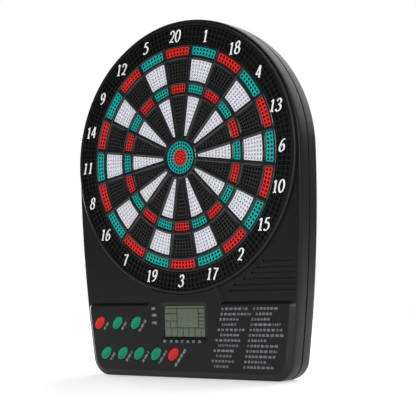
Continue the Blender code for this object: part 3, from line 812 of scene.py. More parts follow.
    def grooves(self, shell: Surface, floor: float, inside: float) -> None:
        """The speaker grooves; the longer ones have a small hole through the shell at their left end.

        Args:
            shell: the front shell's surface.
            floor: y of the grooves' floor.
            inside: y of the shell's inner face.
        """
        for z, start in self.vent_lines:
            levels = ((0.18, self.face), (0.0, self.face + 0.16), (0.0, floor))
            shell.loft([ring_of(self.vent(z, start, grow), depth) for grow, depth in levels])
            if start > 42.0:
                hole = circle((start, z), 0.6, 12)
                shell.loft([ring_of(hole, floor), ring_of(hole, inside)])

    def vent(self, z: float, start: float, grow: float) -> np.ndarray:
        """Outline of a groove with a round left end.

        Args:
            z: the groove's height.
            start: x of its round end's middle.
            grow: how far the outline is offset outwards.

        Returns:
            Points (x, z).
        """
        bulb, half = self.groove_bulb + grow, self.groove_half + grow
        meet = math.asin(half / bulb)
        turn = np.linspace(meet, 2.0 * math.pi - meet, 13)
        end = self.vent_end + grow
        arc = np.column_stack((start + bulb * np.cos(turn), z + bulb * np.sin(turn)))
        return np.concatenate((arc, [(end, z - half), (end, z + half)]))

    def back(self) -> None:
        """Rear shell: wall with the parting groove and tongue, flat back, bay, keyholes and screw posts."""
        shell = Surface()
        front, inside = self.rear_front, self.rear - 2.5
        soft = (
            (0.0, 3.0), (0.02, 5.0), (0.11, 7.2), (0.27, 9.0), (0.46, 10.2), (0.66, 10.85), (0.86, 11.18),
            (1.1, 11.3),
        )
        tongue = (
            (0.2, inside), (0.2, front + 1.2), (0.9, front + 1.2), (0.9, front - 1.2), (0.2, front - 1.2),
            (0.2, front),
        )
        rings = [ring_of(self.outline(self.wall + inset), depth) for inset, depth in tongue]
        rings += [ring_of(self.outline(0.8), front), ring_of(self.outline(0.8), front + 1.0)]
        rings += [ring_of(self.outline(0.2), front + 1.0), ring_of(self.outline(0.0), front + 1.2)]
        rings += [ring_of(self.outline(inset), front + depth) for inset, depth in soft]
        shell.loft(rings)

        ledge, bay_back = box_mm("battery_door")[0][1] - self.door_gap, self.bay_floor - self.bay_skin
        self.bay(shell, ledge, inside, bay_back)
        for name in Screws.case_names():
            self.post(shell, middle_mm(name), inside)
        for side in (-1.0, 1.0):
            entry = (side * self.keyholes[0], self.keyholes[1])
            levels = ((0.25, self.rear), (0.0, self.rear - 0.25), (0.0, inside))
            shell.loft([ring_of(self.keyhole(entry, grow), depth) for grow, depth in levels])
        shell.cap(self.rear, ledge, self.bay_floor, bay_back, *self.post_depths, inside)
        shell.build("rear_shell_skin", [self.finishes["abs_case_black"]], HOUSING, ["rear_shell"], Slot.CASE)

    def bay(self, shell: Surface, ledge: float, inside: float, bay_back: float) -> None:
        """The battery bay: a recess for the door, a ledge under it, and a well in a thin tub.

        Args:
            shell: the rear shell's surface.
            ledge: y of the ledge.
            inside: y of the shell's inner face.
            bay_back: y of the tub's outer face.
        """
        middle, half = middle_mm("battery_door"), half_mm("battery_door")
        door = (half[0] + self.door_gap, half[1] + self.door_gap)
        well = (door[0] - 2.0, door[1] - 2.0)
        recess = rounded_rectangle(middle, door, 2.0)
        soft_recess = rounded_rectangle(middle, (door[0] + 0.25, door[1] + 0.25), 2.2)
        shell.loft(
            [ring_of(soft_recess, self.rear), ring_of(recess, self.rear - 0.2), ring_of(recess, ledge)]
        )
        hollow = rounded_rectangle(middle, well, 0.4, 2)
        shell.loft([ring_of(hollow, ledge), ring_of(hollow, self.bay_floor)])
        tub = rounded_rectangle(middle, (well[0] + 1.4, well[1] + 1.4), 1.0, 2)
        shell.loft([ring_of(tub, inside), ring_of(tub, bay_back)])

    def post(self, shell: Surface, place: tuple[float, float], inside: float) -> None:
        """A screw's post: a bore for the head, a pilot hole, and a stepped post inside.

        Args:
            shell: the rear shell's surface.
            place: the screw's (x, z).
            inside: y of the shell's inner face.
        """
        tip, step, seat = self.post_depths
        slim, stout = self.post_radii
        bore = ((0.25, self.rear), (0.0, self.rear - 0.25), (0.0, seat))
        shell.loft([ring_of(circle(place, self.post_bore + grow, 32), depth) for grow, depth in bore])
        for radius, start, end in ((self.post_pilot, seat, tip), (slim, tip, step), (stout, step, inside)):
            rim = circle(place, radius, 24)
            shell.loft([ring_of(rim, start), ring_of(rim, end)])

    @staticmethod
    def keyhole(centre: tuple[float, float], grow: float) -> np.ndarray:
        """Outline of a round entry with a narrower slot rising from it.

        Args:
            centre: the entry's middle.
            grow: how far the outline is offset outwards.

        Returns:
            Points (x, z).
        """
        entry, slot, rise = 4.6 + grow, 1.9 + grow, 9.0
        meet = math.asin(slot / entry)
        low = np.linspace(math.pi / 2.0 + meet, 2.5 * math.pi - meet, 40)
        high = np.linspace(0.0, math.pi, 14)
        entry_arc = np.column_stack((centre[0] + entry * np.cos(low), centre[1] + entry * np.sin(low)))
        slot_arc = np.column_stack((centre[0] + slot * np.cos(high), centre[1] + rise + slot * np.sin(high)))
        return np.concatenate((entry_arc, slot_arc))

    def door(self) -> None:
        """Battery door: a plate with rounded edges, a thumb recess and three grip ribs in it."""
        low, high = box_mm("battery_door")
        middle, half = middle_mm("battery_door"), half_mm("battery_door")
        plate = Surface()
        edge = ((0.0, low[1]), (0.0, high[1] - 0.3), (0.09, high[1] - 0.09), (0.3, high[1]))
        plate.loft(
            [ring_of(rounded_rectangle(middle, (half[0] - i, half[1] - i), 1.8 - i), y) for i, y in edge]
        )
        thumb, floor = (middle[0], high[2] - 6.0), high[1] - 0.5
        recess = ((0.2, high[1]), (0.0, high[1] - 0.2), (0.0, floor))
        plate.loft([ring_of(rounded_rectangle(thumb, (9.0 + g, 2.5 + g), 2.0 + g), y) for g, y in recess])
        for step in (-1.3, 0.0, 1.3):
            spot = (thumb[0], thumb[1] + step)
            foot = rounded_rectangle(spot, (7.0, 0.32), 0.3, 3)
            crest = rounded_rectangle(spot, (6.9, 0.2), 0.19, 3)
            plate.loft([ring_of(foot, floor), ring_of(crest, high[1] - 0.15)])
        plate.cap(low[1], high[1], floor, high[1] - 0.15)
        plate.build(
            "battery_door_skin",
            [self.finishes["abs_case_black"]],
            "battery_door_body",
            ["battery_door"],
            Slot.CASE,
        )

    def build(self) -> None:
        """Builds both shells and the door."""
        self.front()
        self.back()
        self.door()


# ---------------------------------------------------------------- screws


@dataclass
class Screws:
    """Pan-head screws with a cross recess, in zinc-plated steel."""

    finishes: Finishes
    steps: int = 40

    @staticmethod
    def case_names() -> list[str]:
        """The case screws' CAD nodes."""
        return sorted(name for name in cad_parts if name.startswith("case_screw"))

    def screw(self, name: str) -> None:
        """One screw: a domed head with a sunk cross, a shank and a point, turned about its own axis."""
        low, high = box_mm(name)
        centre, head = middle_mm(name), half_mm(name)[0]
        top, under = high[1], high[1] - 1.4 * head / 2.5
        rise = top - under
        dome = [(head * s, top - rise * 0.55 * s**4) for s in (0.62, 0.74, 0.85, 0.94, 1.0)]
        profile = [(0.0, low[1]), (head * 0.2, low[1] + 0.4), (head * 0.42, low[1] + 1.2)]
        profile += [(head * 0.42, under), (head, under), *reversed(dome)]
        part = Surface()
        part.grid(turned(profile, centre, self.steps))
        arm, thin = head * 0.5, head * 0.13
        cross = np.array(
            (
                (arm, -thin), (arm, thin), (thin, thin), (thin, arm), (-thin, arm), (-thin, thin),
                (-arm, thin), (-arm, -thin), (-thin, -thin), (-thin, -arm), (thin, -arm), (thin, -thin),
            )
        )
        crown = dome[0][1]
        sunk = crown - 0.35 * rise
        part.loft([ring_of(cross + centre, crown), ring_of(cross * 0.8 + centre, sunk)])
        part.cap(crown, sunk)
        part.build(name + "_steel", [self.finishes["zinc_plate"]], HOUSING, [name], Slot.SCREW)

    def build(self) -> None:
        """Builds every screw of the frame."""
        for name in sorted(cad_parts):
            if name.startswith(("case_screw", "board_screw")):
                self.screw(name)


# ---------------------------------------------------------------- target


@dataclass(frozen=True)
class Bed:
    """One bed of a number: its radii, each row's holes from the centre outwards, and a hole's radius."""

    inner: float
    outer: float
    rows: tuple[int, ...]
    hole: float


@dataclass
class Target:
    """The perforated beds and the bulls.

    Fields: bar_half is half the gap between two numbers' beds; edge is the rounding of a bed's edge;
    funnel and funnel_depth are how far and how deep a hole widens at the front; land is the least flat
    left beside a funnel; back is the beds' rear plane along Y; side_steps are the border points up each
    cell's side.
    """

    finishes: Finishes
    beds: tuple[Bed, ...] = (
        Bed(16.2, 44.6, (1, 1, 2, 2, 2, 3, 3, 3, 4, 4), 0.72),
        Bed(47.6, 53.1, (5, 5), 0.88),
        Bed(56.3, 71.3, (6, 6, 6, 6, 6, 6), 0.78),
        Bed(74.6, 80.6, (7, 7), 0.92),
    )
    bar_half: float = 1.8
    edge: float = 0.3
    bull_hole: float = 0.92
    funnel: float = 0.12
    funnel_depth: float = 0.15
    land: float = 0.05
    back: float = -7.3
    side_steps: int = 3

    def __post_init__(self) -> None:
        """Reads the target's centre and front from the frame."""
        low, high = box_mm("inner_bull")
        self.centre = middle_mm("inner_bull")
        self.front, self.bull_back = low[1], high[1]
        self.inner_bull, self.outer_bull = half_mm("inner_bull")[0], half_mm("outer_bull")[0]

    def place(self, bed: Bed, share: np.ndarray, across: np.ndarray, inset: float) -> np.ndarray:
        """Points of a bed that points up, its sides parallel to the bars beside it.

        The radius runs from inner to outer with share, and the angle is across times half the bed's angle
        less the arc sine of the bar's half width over the radius.

        Args:
            bed: the bed.
            share: 0 at its inner edge to 1 at its outer edge.
            across: -1 at one side to 1 at the other.
            inset: how far the edge is drawn in.

        Returns:
            (x, z) about the target's centre.
        """
        radius = bed.inner + inset + share * (bed.outer - bed.inner - 2.0 * inset)
        half = BED_ANGLE / 2.0 - np.arcsin((self.bar_half + inset) / radius)
        angle = across * half
        return np.stack((radius * np.sin(angle), radius * np.cos(angle)), axis=-1)

    def cells(
        self,
        rows: Sequence[int],
        hole: float,
        steps: int,
        place: Callable[[np.ndarray, np.ndarray], np.ndarray],
        back: float,
    ) -> list[np.ndarray]:
        """Perforated plate: a row has one cell for each hole, and each cell runs into its funnel and hole.

        A cell's border is walked once round, and each ring inside it has a point in the same direction
        from the cell's middle as the border's point, at the funnel's and then the hole's radius, which
        shrinks where the row is too narrow for it.

        Args:
            rows: holes in each row.
            hole: a hole's radius, which its funnel widens at the front.
            steps: border steps across the whole plate, a multiple of every row's count.
            place: maps (share, across from 0 to 1) to (x, z).
            back: y of the plate's back.

        Returns:
            A stack of grids for each row.
        """
        stacks = []
        for index, count in enumerate(rows):
            wide = steps // count
            along = np.arange(wide) / wide
            up = np.arange(self.side_steps) / self.side_steps
            across = np.concatenate((along, np.ones(self.side_steps), 1.0 - along, np.zeros(self.side_steps)))
            share = np.concatenate((np.zeros(wide), up, np.ones(wide), 1.0 - up))
            cell = np.arange(count)[:, None]
            border = place(
                (index + np.broadcast_to(share, (count, len(share)))) / len(rows), (cell + across) / count
            )
            middle = place(np.full((count, 1), (index + 0.5) / len(rows)), (cell + 0.5) / count)
            away = border - middle
            reach = np.linalg.norm(away, axis=-1, keepdims=True)
            bore, away = min(hole, reach.min() - self.funnel - self.land), away / reach
            levels = (
                (border, self.front),
                (middle + away * (bore + self.funnel), self.front + 0.04),
                (middle + away * (bore + 0.02), self.front + self.funnel_depth),
                (middle + away * bore, self.front + self.funnel_depth * 1.6),
                (middle + away * bore, back),
            )
            grids = [
                np.stack((at[..., 0], np.full(at.shape[:-1], depth), at[..., 1]), axis=-1)
                for at, depth in levels
            ]
            stacks.append(np.stack(grids, axis=1))
        return stacks

    def turn(self, points: np.ndarray, steps: int) -> np.ndarray:
        """Turns points clockwise, as seen from the front, and moves them to the target's centre.

        Args:
            points: an array that ends in 3, about the origin.
            steps: by how many beds.

        Returns:
            The same points in place.
        """
        angle = steps * BED_ANGLE
        x = points[..., 0] * math.cos(angle) + points[..., 2] * math.sin(angle)
        z = points[..., 2] * math.cos(angle) - points[..., 0] * math.sin(angle)
        return np.stack((x + self.centre[0], points[..., 1], z + self.centre[1]), axis=-1)

    def add_bed(self, part: Surface, bed: Bed, index: int) -> None:
        """Adds one bed: its perforated front, a rounded edge and its walls.

        Args:
            part: the surface it joins.
            bed: the bed.
            index: its number's place, clockwise from the top.
        """
        steps = math.lcm(*bed.rows) * (3 if len(set(bed.rows)) == 1 else 1)

        def plate(share: np.ndarray, across: np.ndarray) -> np.ndarray:
            """The bed's (x, z) at (share, across), with across from 0 to 1."""
            return self.place(bed, share, 2.0 * across - 1.0, self.edge)

        for stack in self.cells(bed.rows, bed.hole, steps, plate, self.back):
            part.grid(self.turn(stack, index))
        along = np.arange(steps) / steps
        count = len(bed.rows) * self.side_steps
        up = np.arange(count) / count
        across = np.concatenate((along, np.ones(count), 1.0 - along, np.zeros(count))) * 2.0 - 1.0
        share = np.concatenate((np.zeros(steps), up, np.ones(steps), 1.0 - up))
        soft, front = self.edge * 0.3, self.front
        levels = ((self.edge, front), (soft, front + soft), (0.0, front + self.edge), (0.0, self.back))
        rings = [ring_of(self.place(bed, share, across, inset), depth) for inset, depth in levels]
        part.grid(self.turn(np.stack(rings), index))

    def segments(self) -> None:
        """Twenty numbers, each with two plain beds and two scoring beds on its own body."""
        schemes = (
            ("polypropylene_bed_black", Slot.BED_BLACK, "polypropylene_bed_red", Slot.RED),
            ("polypropylene_bed_white", Slot.BED_WHITE, "polypropylene_bed_teal", Slot.TEAL),
        )
        for index, number in enumerate(BED_NUMBERS):
            plain, plain_slot, scoring, scoring_slot = schemes[index % 2]
            node = "segment_%d" % number
            for beds, kind, finish, slot in (
                (self.beds[0::2], "single", plain, plain_slot),
                (self.beds[1::2], "scoring", scoring, scoring_slot),
            ):
                part = Surface()
                for bed in beds:
                    self.add_bed(part, bed, index)
                part.cap(self.back)
                name = "%s_beds_%d" % (kind, number)
                part.build(name, [self.finishes[finish]], node + "_body", [node], slot, 50.0)

    def bulls(self) -> None:
        """The outer bull with two rings of holes and the inner bull with one, six and twelve."""
        hollow, rim = self.inner_bull + 0.3, self.outer_bull
        edge, back = self.edge, self.bull_back

        def annulus(low: float, high: float) -> Callable[[np.ndarray, np.ndarray], np.ndarray]:
            """Maps share to a radius between low and high and across to a full turn."""

            def place(share: np.ndarray, across: np.ndarray) -> np.ndarray:
                """The (x, z) at (share, across)."""
                radius, angle = low + share * (high - low), -2.0 * math.pi * across
                return np.stack((radius * np.cos(angle), radius * np.sin(angle)), axis=-1)

            return place

        outer, rows = Surface(), (20, 28)
        steps = math.lcm(*rows)
        for stack in self.cells(rows, self.bull_hole, steps, annulus(hollow + edge, rim - edge), back):
            outer.grid(self.turn(stack, 0))
        self.add_rim(outer, rim, -edge, steps, back)
        self.add_rim(outer, hollow, edge, steps, back)
        outer.cap(back)
        teal, red = self.finishes["polypropylene_bed_teal"], self.finishes["polypropylene_bed_red"]
        outer.build("outer_bull_bed", [teal], "outer_bull_body", ["outer_bull"], Slot.TEAL, 50.0)

        inner = Surface()
        steps = 36
        reach = self.inner_bull - edge
        core, bore = reach * 0.2 + 0.1, self.bull_hole - 0.2
        for stack in self.cells((6, 12), bore, steps, annulus(core, reach), back):
            inner.grid(self.turn(stack, 0))
        throat = self.front + self.funnel_depth
        middle = ((core, self.front), (0.75, throat), (0.7, throat + self.funnel_depth * 0.6), (0.7, back))
        inner.grid(turned(middle, self.centre, steps))
        self.add_rim(inner, self.inner_bull, -edge, steps, back)
        inner.cap(back)
        inner.build("inner_bull_bed", [red], "inner_bull_body", ["inner_bull"], Slot.RED, 50.0)

    def add_rim(self, part: Surface, radius: float, inset: float, steps: int, back: float) -> None:
        """Adds a bull's rounded edge and wall at a radius.

        Args:
            part: the surface it joins.
            radius: the wall's radius.
            inset: from the wall to the flat front, signed.
            steps: columns round.
            back: y of the wall's end.
        """
        depth, front = abs(inset), self.front
        shoulder = (radius + inset * 0.3, front + depth * 0.3)
        profile = ((radius + inset, front), shoulder, (radius, front + depth), (radius, back))
        part.grid(turned(profile, self.centre, steps))

    def build(self) -> None:
        """Builds all beds and bulls."""
        self.segments()
        self.bulls()


@dataclass
class Spider:
    """The ridged frame between the beds: a hub, twenty bars, four rings and the flange behind them.

    Fields: windows are each ring of openings' inner and outer radii; ridge is a bar's or ring's section, as
    (offset from its middle, share of the shoulder's height); hub is the hub's section by radius; shoulder is
    the ridge's height over its foot; fan is the facets across a window.
    """

    finishes: Finishes
    target: Target
    windows: tuple[tuple[float, float], ...] = ((15.9, 44.9), (47.3, 53.4), (56.0, 71.6), (74.3, 80.9))
    ridge: tuple[tuple[float, float], ...] = ((0.0, 1.0), (0.2, 1.0), (0.5, 0.45), (1.5, 0.0))
    hub: tuple[tuple[float, float], ...] = (
        (12.1, 0.0), (12.35, 0.4), (13.5, 0.45), (13.8, 1.0), (14.3, 1.0), (14.9, 0.4)
    )
    shoulder: float = 0.85
    rim: float = 82.6
    back: float = -7.9
    flange: float = 94.2
    flange_back: float = -6.7
    fan: int = 6

    def radii(self) -> tuple[np.ndarray, np.ndarray, np.ndarray]:
        """Radial stations: each radius, its height over the shoulder, and whether a window follows it."""
        radius = [station for station, _ in self.hub]
        raised = [rise for _, rise in self.hub]
        opens = [False] * len(self.hub)
        for index, (inner, outer) in enumerate(self.windows):
            radius += np.linspace(inner, outer, 5).tolist()
            raised += [0.0] * 5
            opens += [True] * 4 + [False]
            after = self.windows[index + 1][0] if index + 1 < len(self.windows) else self.rim
            middle = (outer + after) / 2.0
            crest = self.ridge[1:3]
            around = [-offset for offset, _ in crest[::-1]] + [offset for offset, _ in crest]
            radius += [middle + offset for offset in around]
            raised += [rise for _, rise in (*crest[::-1], *crest)]
            opens += [False] * 4
        radius.append(self.rim)
        raised.append(0.2)
        opens.append(False)
        return np.array(radius), np.array(raised), np.array(opens)

    def build(self) -> None:
        """Lays the polar grid: its height is the larger of the bar's ridge and the ring's ridge."""
        front = box_mm("spider_frame")[0][1]
        radius, raised, opens = self.radii()
        count, half = len(BED_NUMBERS), BED_ANGLE / 2.0
        offsets, rises = np.array(self.ridge).T
        bar = np.arcsin(offsets[None, :] / radius[:, None])
        fan = np.linspace(-1.0, 1.0, self.fan + 1)[1:-1]
        sector = np.concatenate((bar - half, (half - bar[:, -1:]) * fan, half - bar[:, :0:-1]), axis=1)
        bar_raised = np.concatenate((rises, np.zeros(len(fan)), rises[:0:-1]))
        angle = (sector[:, None, :] + np.arange(count)[None, :, None] * BED_ANGLE).reshape(len(radius), -1)
        beyond_hub = (radius > self.hub[-3][0] - 0.01)[:, None]
        height = np.maximum(raised[:, None], np.tile(bar_raised, count)[None, :] * beyond_hub)
        y = front + self.shoulder * (1.0 - height)
        centre_x, centre_z = self.target.centre
        grid = np.stack(
            (
                centre_x + radius[:, None] * np.sin(angle), y, centre_z + radius[:, None] * np.cos(angle)
            ), axis=-1
        )
        first = len(offsets) - 1
        column = np.tile(np.arange(sector.shape[1]), count)
        inside = (column >= first) & (column < first + self.fan)
        solid = ~(opens[:-1, None] & inside[None, :])
        lower = grid.copy()
        lower[..., 1] = self.back
        part = Surface()
        part.grid(grid, keep=solid)
        part.grid(lower, keep=solid)
        rows, columns = solid.shape
        for inner_row, outer_row in self._window_rows(opens):
            for start in range(first, columns, sector.shape[1]):
                stop = start + self.fan
                border = [(inner_row, c) for c in range(start, stop)]
                border += [(r, stop) for r in range(inner_row, outer_row)]
                border += [(outer_row, c) for c in range(stop, start, -1)]
                border += [(r, start) for r in range(outer_row, inner_row, -1)]
                at = np.array(border)
                part.grid(np.stack((grid[at[:, 0], at[:, 1]], lower[at[:, 0], at[:, 1]])))
        for row in (0, rows):
            part.grid(np.stack((grid[row], lower[row])))
        inner, face = self.rim - 0.7, self.back - 0.2
        flange = [
            (inner, face), (self.flange, face), (self.flange, self.flange_back), (inner, self.flange_back)
        ]
        part.grid(turned([*flange, flange[0]], self.target.centre, 160))
        grey = self.finishes["polypropylene_spider_grey"]
        part.build("spider_frame_skin", [grey], HOUSING, ["spider_frame"], Slot.SPIDER, 20.0)

    @staticmethod
    def _window_rows(opens: np.ndarray) -> list[tuple[int, int]]:
        """First and last station of each run of windows."""
        steps = np.flatnonzero(np.diff(np.concatenate(([0], opens.astype(int), [0]))))
        return [(int(a), int(b)) for a, b in zip(steps[::2], steps[1::2])]


@dataclass
class Rings:
    """The trim ring and the ribbed number ring.

    Fields: cells_each is the cells beside each number; lines are the round ribs' radii; rebate is y of the
    step behind the rim; rib is half a rib's width, and slope is how far its side runs over cell_depth.
    """

    finishes: Finishes
    target: Target
    steps: int = 240
    cells_each: int = 8
    lines: tuple[float, ...] = (82.8, 84.3, 87.8, 91.3, 94.8, 96.2)
    rebate: float = -9.3
    rib: float = 0.28
    cell_depth: float = 1.3
    slope: float = 0.14
    trim_width: float = 2.6

    def trim(self) -> None:
        """The smooth ring round the target, its edges rounded and a shallow crown on its face."""
        low, high = box_mm("target_ring")
        outer, front, back = half_mm("target_ring")[0], low[1], high[1]
        inner = outer - self.trim_width
        bore, step = inner + 0.25, self.target.front - 0.3
        profile = [
            (bore, back), (bore, step), (inner, step), (inner, front + 0.35), (inner + 0.1, front + 0.12),
            (inner + 0.35, front), (outer - 1.3, front), (outer - 0.75, front + 0.1),
            (outer - 0.3, front + 0.35), (outer - 0.05, front + 0.8), (outer, front + 1.2), (outer, back),
            (bore, back),
        ]
        part = Surface()
        part.grid(turned(profile, self.target.centre, self.steps))
        black = self.finishes["abs_case_black"]
        part.build("target_ring_skin", [black], HOUSING, ["target_ring"], Slot.CASE, 40.0)

    def numbers(self) -> None:
        """The number ring: a polar field of sunk cells between ribs, closed behind by a flat back."""
        low, high = box_mm("number_ring")
        seat, front, back = half_mm("number_ring")[0], low[1], high[1]
        inner, outer = self.lines[0], self.lines[-1]
        radius, sunk = [], []
        for start, end in zip(self.lines[:-1], self.lines[1:]):
            rib, wall = self.rib, self.rib + self.slope
            radius += [start + rib, start + wall, end - wall, end - rib]
            sunk += [0.0, 1.0, 1.0, 0.0]
        radius, sunk = [inner, *radius, outer], [0.0, *sunk, 0.0]
        radius = np.array(radius)
        count = self.cells_each * len(BED_NUMBERS)
        turn = 2.0 * math.pi / count
        middle = (inner + outer) / 2.0
        crest, foot = self.rib / middle, (self.rib + self.slope) / middle
        offsets = np.array((crest, foot, turn - foot, turn - crest))
        angle = (np.arange(count)[:, None] * turn + offsets).reshape(-1)
        across = np.tile((0.0, 1.0, 1.0, 0.0), count)
        depth = np.minimum(np.array(sunk)[:, None], across[None, :]) * self.cell_depth
        centre_x, centre_z = self.target.centre
        x = centre_x + radius[:, None] * np.sin(angle)
        z = centre_z + radius[:, None] * np.cos(angle)
        grid = np.stack((x, front + depth, z), axis=-1)
        rear = grid[[0, -1]].copy()
        rear[..., 1] = back
        part = Surface()
        step, inwards = grid[-1].copy(), rear[1].copy()
        step[:, 1] = self.rebate
        inwards[:, 0::2] = (inwards[:, 0::2] - (centre_x, centre_z)) * seat / outer + (centre_x, centre_z)
        ledge = inwards.copy()
        ledge[:, 1] = self.rebate
        part.grid(grid)
        part.grid(np.stack((grid[0], rear[0])))
        part.grid(np.stack((grid[-1], step, ledge, inwards)))
        part.cap(back)
        black = self.finishes["polypropylene_ring_black"]
        part.build("number_ring_skin", [black], HOUSING, ["number_ring"], Slot.MESH, 20.0)

    def build(self) -> None:
        """Builds both rings."""
        self.trim()
        self.numbers()


# ---------------------------------------------------------------- figures


@dataclass(frozen=True)
class Pen:
    """A broad-nibbed pen that draws figures: a stroke is widest across the nib and thin along it.

    Fields: height and width are a figure's size in mm; thick and thin the stroke's half widths; rise the
    ink's thickness; nib the nib's angle; slant the shift to the right for each mm of height; smooth the
    points for each control; pitch the figures' spacing in widths; layer the step by which strokes that
    cross lie over each other.
    """

    height: float
    width: float
    thick: float
    thin: float
    rise: float
    nib: float = math.radians(20.0)
    slant: float = 0.22
    smooth: int = 5
    pitch: float = 1.12
    layer: float = 0.004

    def strokes(self, sign: str) -> list[np.ndarray]:
        """Control points of a figure's strokes in a box one high and one wide."""
        ring = np.linspace(0.0, 2.0 * math.pi, 13)
        figures: dict[str, list[Sequence[tuple[float, float]]]] = {
            "0": [np.column_stack((0.5 - 0.42 * np.sin(ring), 0.5 + 0.5 * np.cos(ring)))],
            "1": [
                ((0.28, 0.84), (0.56, 1.0)), ((0.58, 1.0), (0.52, 0.02)),
                ((0.26, 0.02), (0.52, 0.05), (0.80, 0.02)),
            ],
            "2": [
                (
                    (0.12, 0.74), (0.22, 0.94), (0.50, 1.0), (0.80, 0.88), (0.84, 0.66), (0.62, 0.38),
                    (0.30, 0.14), (0.10, 0.03),
                ),
                ((0.10, 0.04), (0.40, 0.09), (0.86, 0.02)),
            ],
            "3": [
                ((0.14, 0.82), (0.30, 0.97), (0.56, 1.0), (0.80, 0.88), (0.76, 0.68), (0.42, 0.54)),
                (
                    (0.42, 0.55), (0.76, 0.47), (0.88, 0.28), (0.72, 0.07), (0.44, 0.0), (0.18, 0.06),
                    (0.08, 0.18),
                ),
            ],
            "4": [
                ((0.66, 1.0), (0.34, 0.62), (0.04, 0.30)), ((0.04, 0.30), (0.92, 0.31)),
                ((0.70, 1.0), (0.66, 0.0)),
            ],
            "5": [
                ((0.84, 0.99), (0.30, 0.97)),
                ((0.30, 0.98), (0.20, 0.58)),
                (
                    (0.20, 0.58), (0.52, 0.62), (0.82, 0.48), (0.84, 0.24), (0.60, 0.03), (0.30, 0.0),
                    (0.08, 0.10),
                ),
            ],
            "6": [
                (
                    (0.86, 0.96), (0.52, 0.92), (0.22, 0.66), (0.10, 0.34), (0.20, 0.08), (0.48, 0.0),
                    (0.78, 0.12), (0.84, 0.34), (0.66, 0.55), (0.38, 0.52), (0.16, 0.34),
                )
            ],
            "7": [((0.10, 0.97), (0.44, 0.93), (0.90, 0.98)), ((0.88, 0.97), (0.60, 0.56), (0.38, 0.0))],
            "8": [
                np.column_stack((0.5 - 0.32 * np.sin(ring), 0.76 + 0.24 * np.cos(ring))),
                np.column_stack((0.5 - 0.40 * np.sin(ring), 0.27 + 0.27 * np.cos(ring))),
            ],
            "-": [((0.15, 0.45), (0.85, 0.45))],
        }
        figures["9"] = [1.0 - np.array(figures["6"][0])]
        return [np.array(stroke, float) for stroke in figures.get(sign, [])]

    def curve(self, control: np.ndarray) -> np.ndarray:
        """A Catmull-Rom curve through the control points; two points make a straight stroke."""
        closed = np.allclose(control[0], control[-1])
        if closed:
            padded = np.concatenate((control[-2:-1], control, control[1:2]))
        else:
            padded = np.concatenate(
                (2 * control[:1] - control[1:2], control, 2 * control[-1:] - control[-2:-1])
            )
        t = np.linspace(0.0, 1.0, self.smooth, endpoint=False)[None, :, None]
        a, b, c, d = (padded[i : len(padded) - 3 + i][:, None] for i in range(4))
        curve = 0.5 * (
            2 * b + (c - a) * t + (2 * a - 5 * b + 4 * c - d) * t**2 + (3 * b - a - 3 * c + d) * t**3
        )
        return np.concatenate((curve.reshape(-1, 2), control[-1:]))

    def write(
        self, part: Surface, text: str, origin: tuple[float, float], depth: float, turn: float = 0.0
    ) -> None:
        """Draws text as thin raised strokes, its first figure's foot at the origin.

        Args:
            part: the surface it joins.
            text: figures, dashes and spaces.
            origin: (x, z) of the first foot.
            depth: y of the surface that it is printed on.
            turn: how far the line of text is turned, in radians.
        """
        step = self.width * self.pitch
        level = 0
        for index, sign in enumerate(text):
            for control in self.strokes(sign):
                line = self.curve(control) * (self.width, self.height)
                line[:, 0] += line[:, 1] * self.slant + index * step
                along = np.gradient(line, axis=0)
                along /= np.linalg.norm(along, axis=1, keepdims=True) + 1e-9
                direction = np.arctan2(along[:, 1], along[:, 0])
                half = self.thin + (self.thick - self.thin) * np.abs(np.sin(direction - self.nib))
                across = np.column_stack((-along[:, 1], along[:, 0])) * half[:, None]
                cos, sin = math.cos(turn), math.sin(turn)
                spin = np.array(((cos, sin), (-sin, cos)))
                left, right = (line + across) @ spin + origin, (line - across) @ spin + origin
                top = depth - self.rise - self.layer * (level % 4)
                level += 1
                corners = ((left, top), (right, top), (right, depth), (left, depth))
                tube = np.stack([ring_of(side, y) for side, y in corners], axis=1)
                part.grid(tube)
                part.add(tube[0], np.array([[0, 1, 2, 3]]))
                part.add(tube[-1], np.array([[3, 2, 1, 0]]))

    def length(self, text: str) -> float:
        """Width of a line of text in mm."""
        return self.width * self.pitch * (len(text) - 1) + self.width


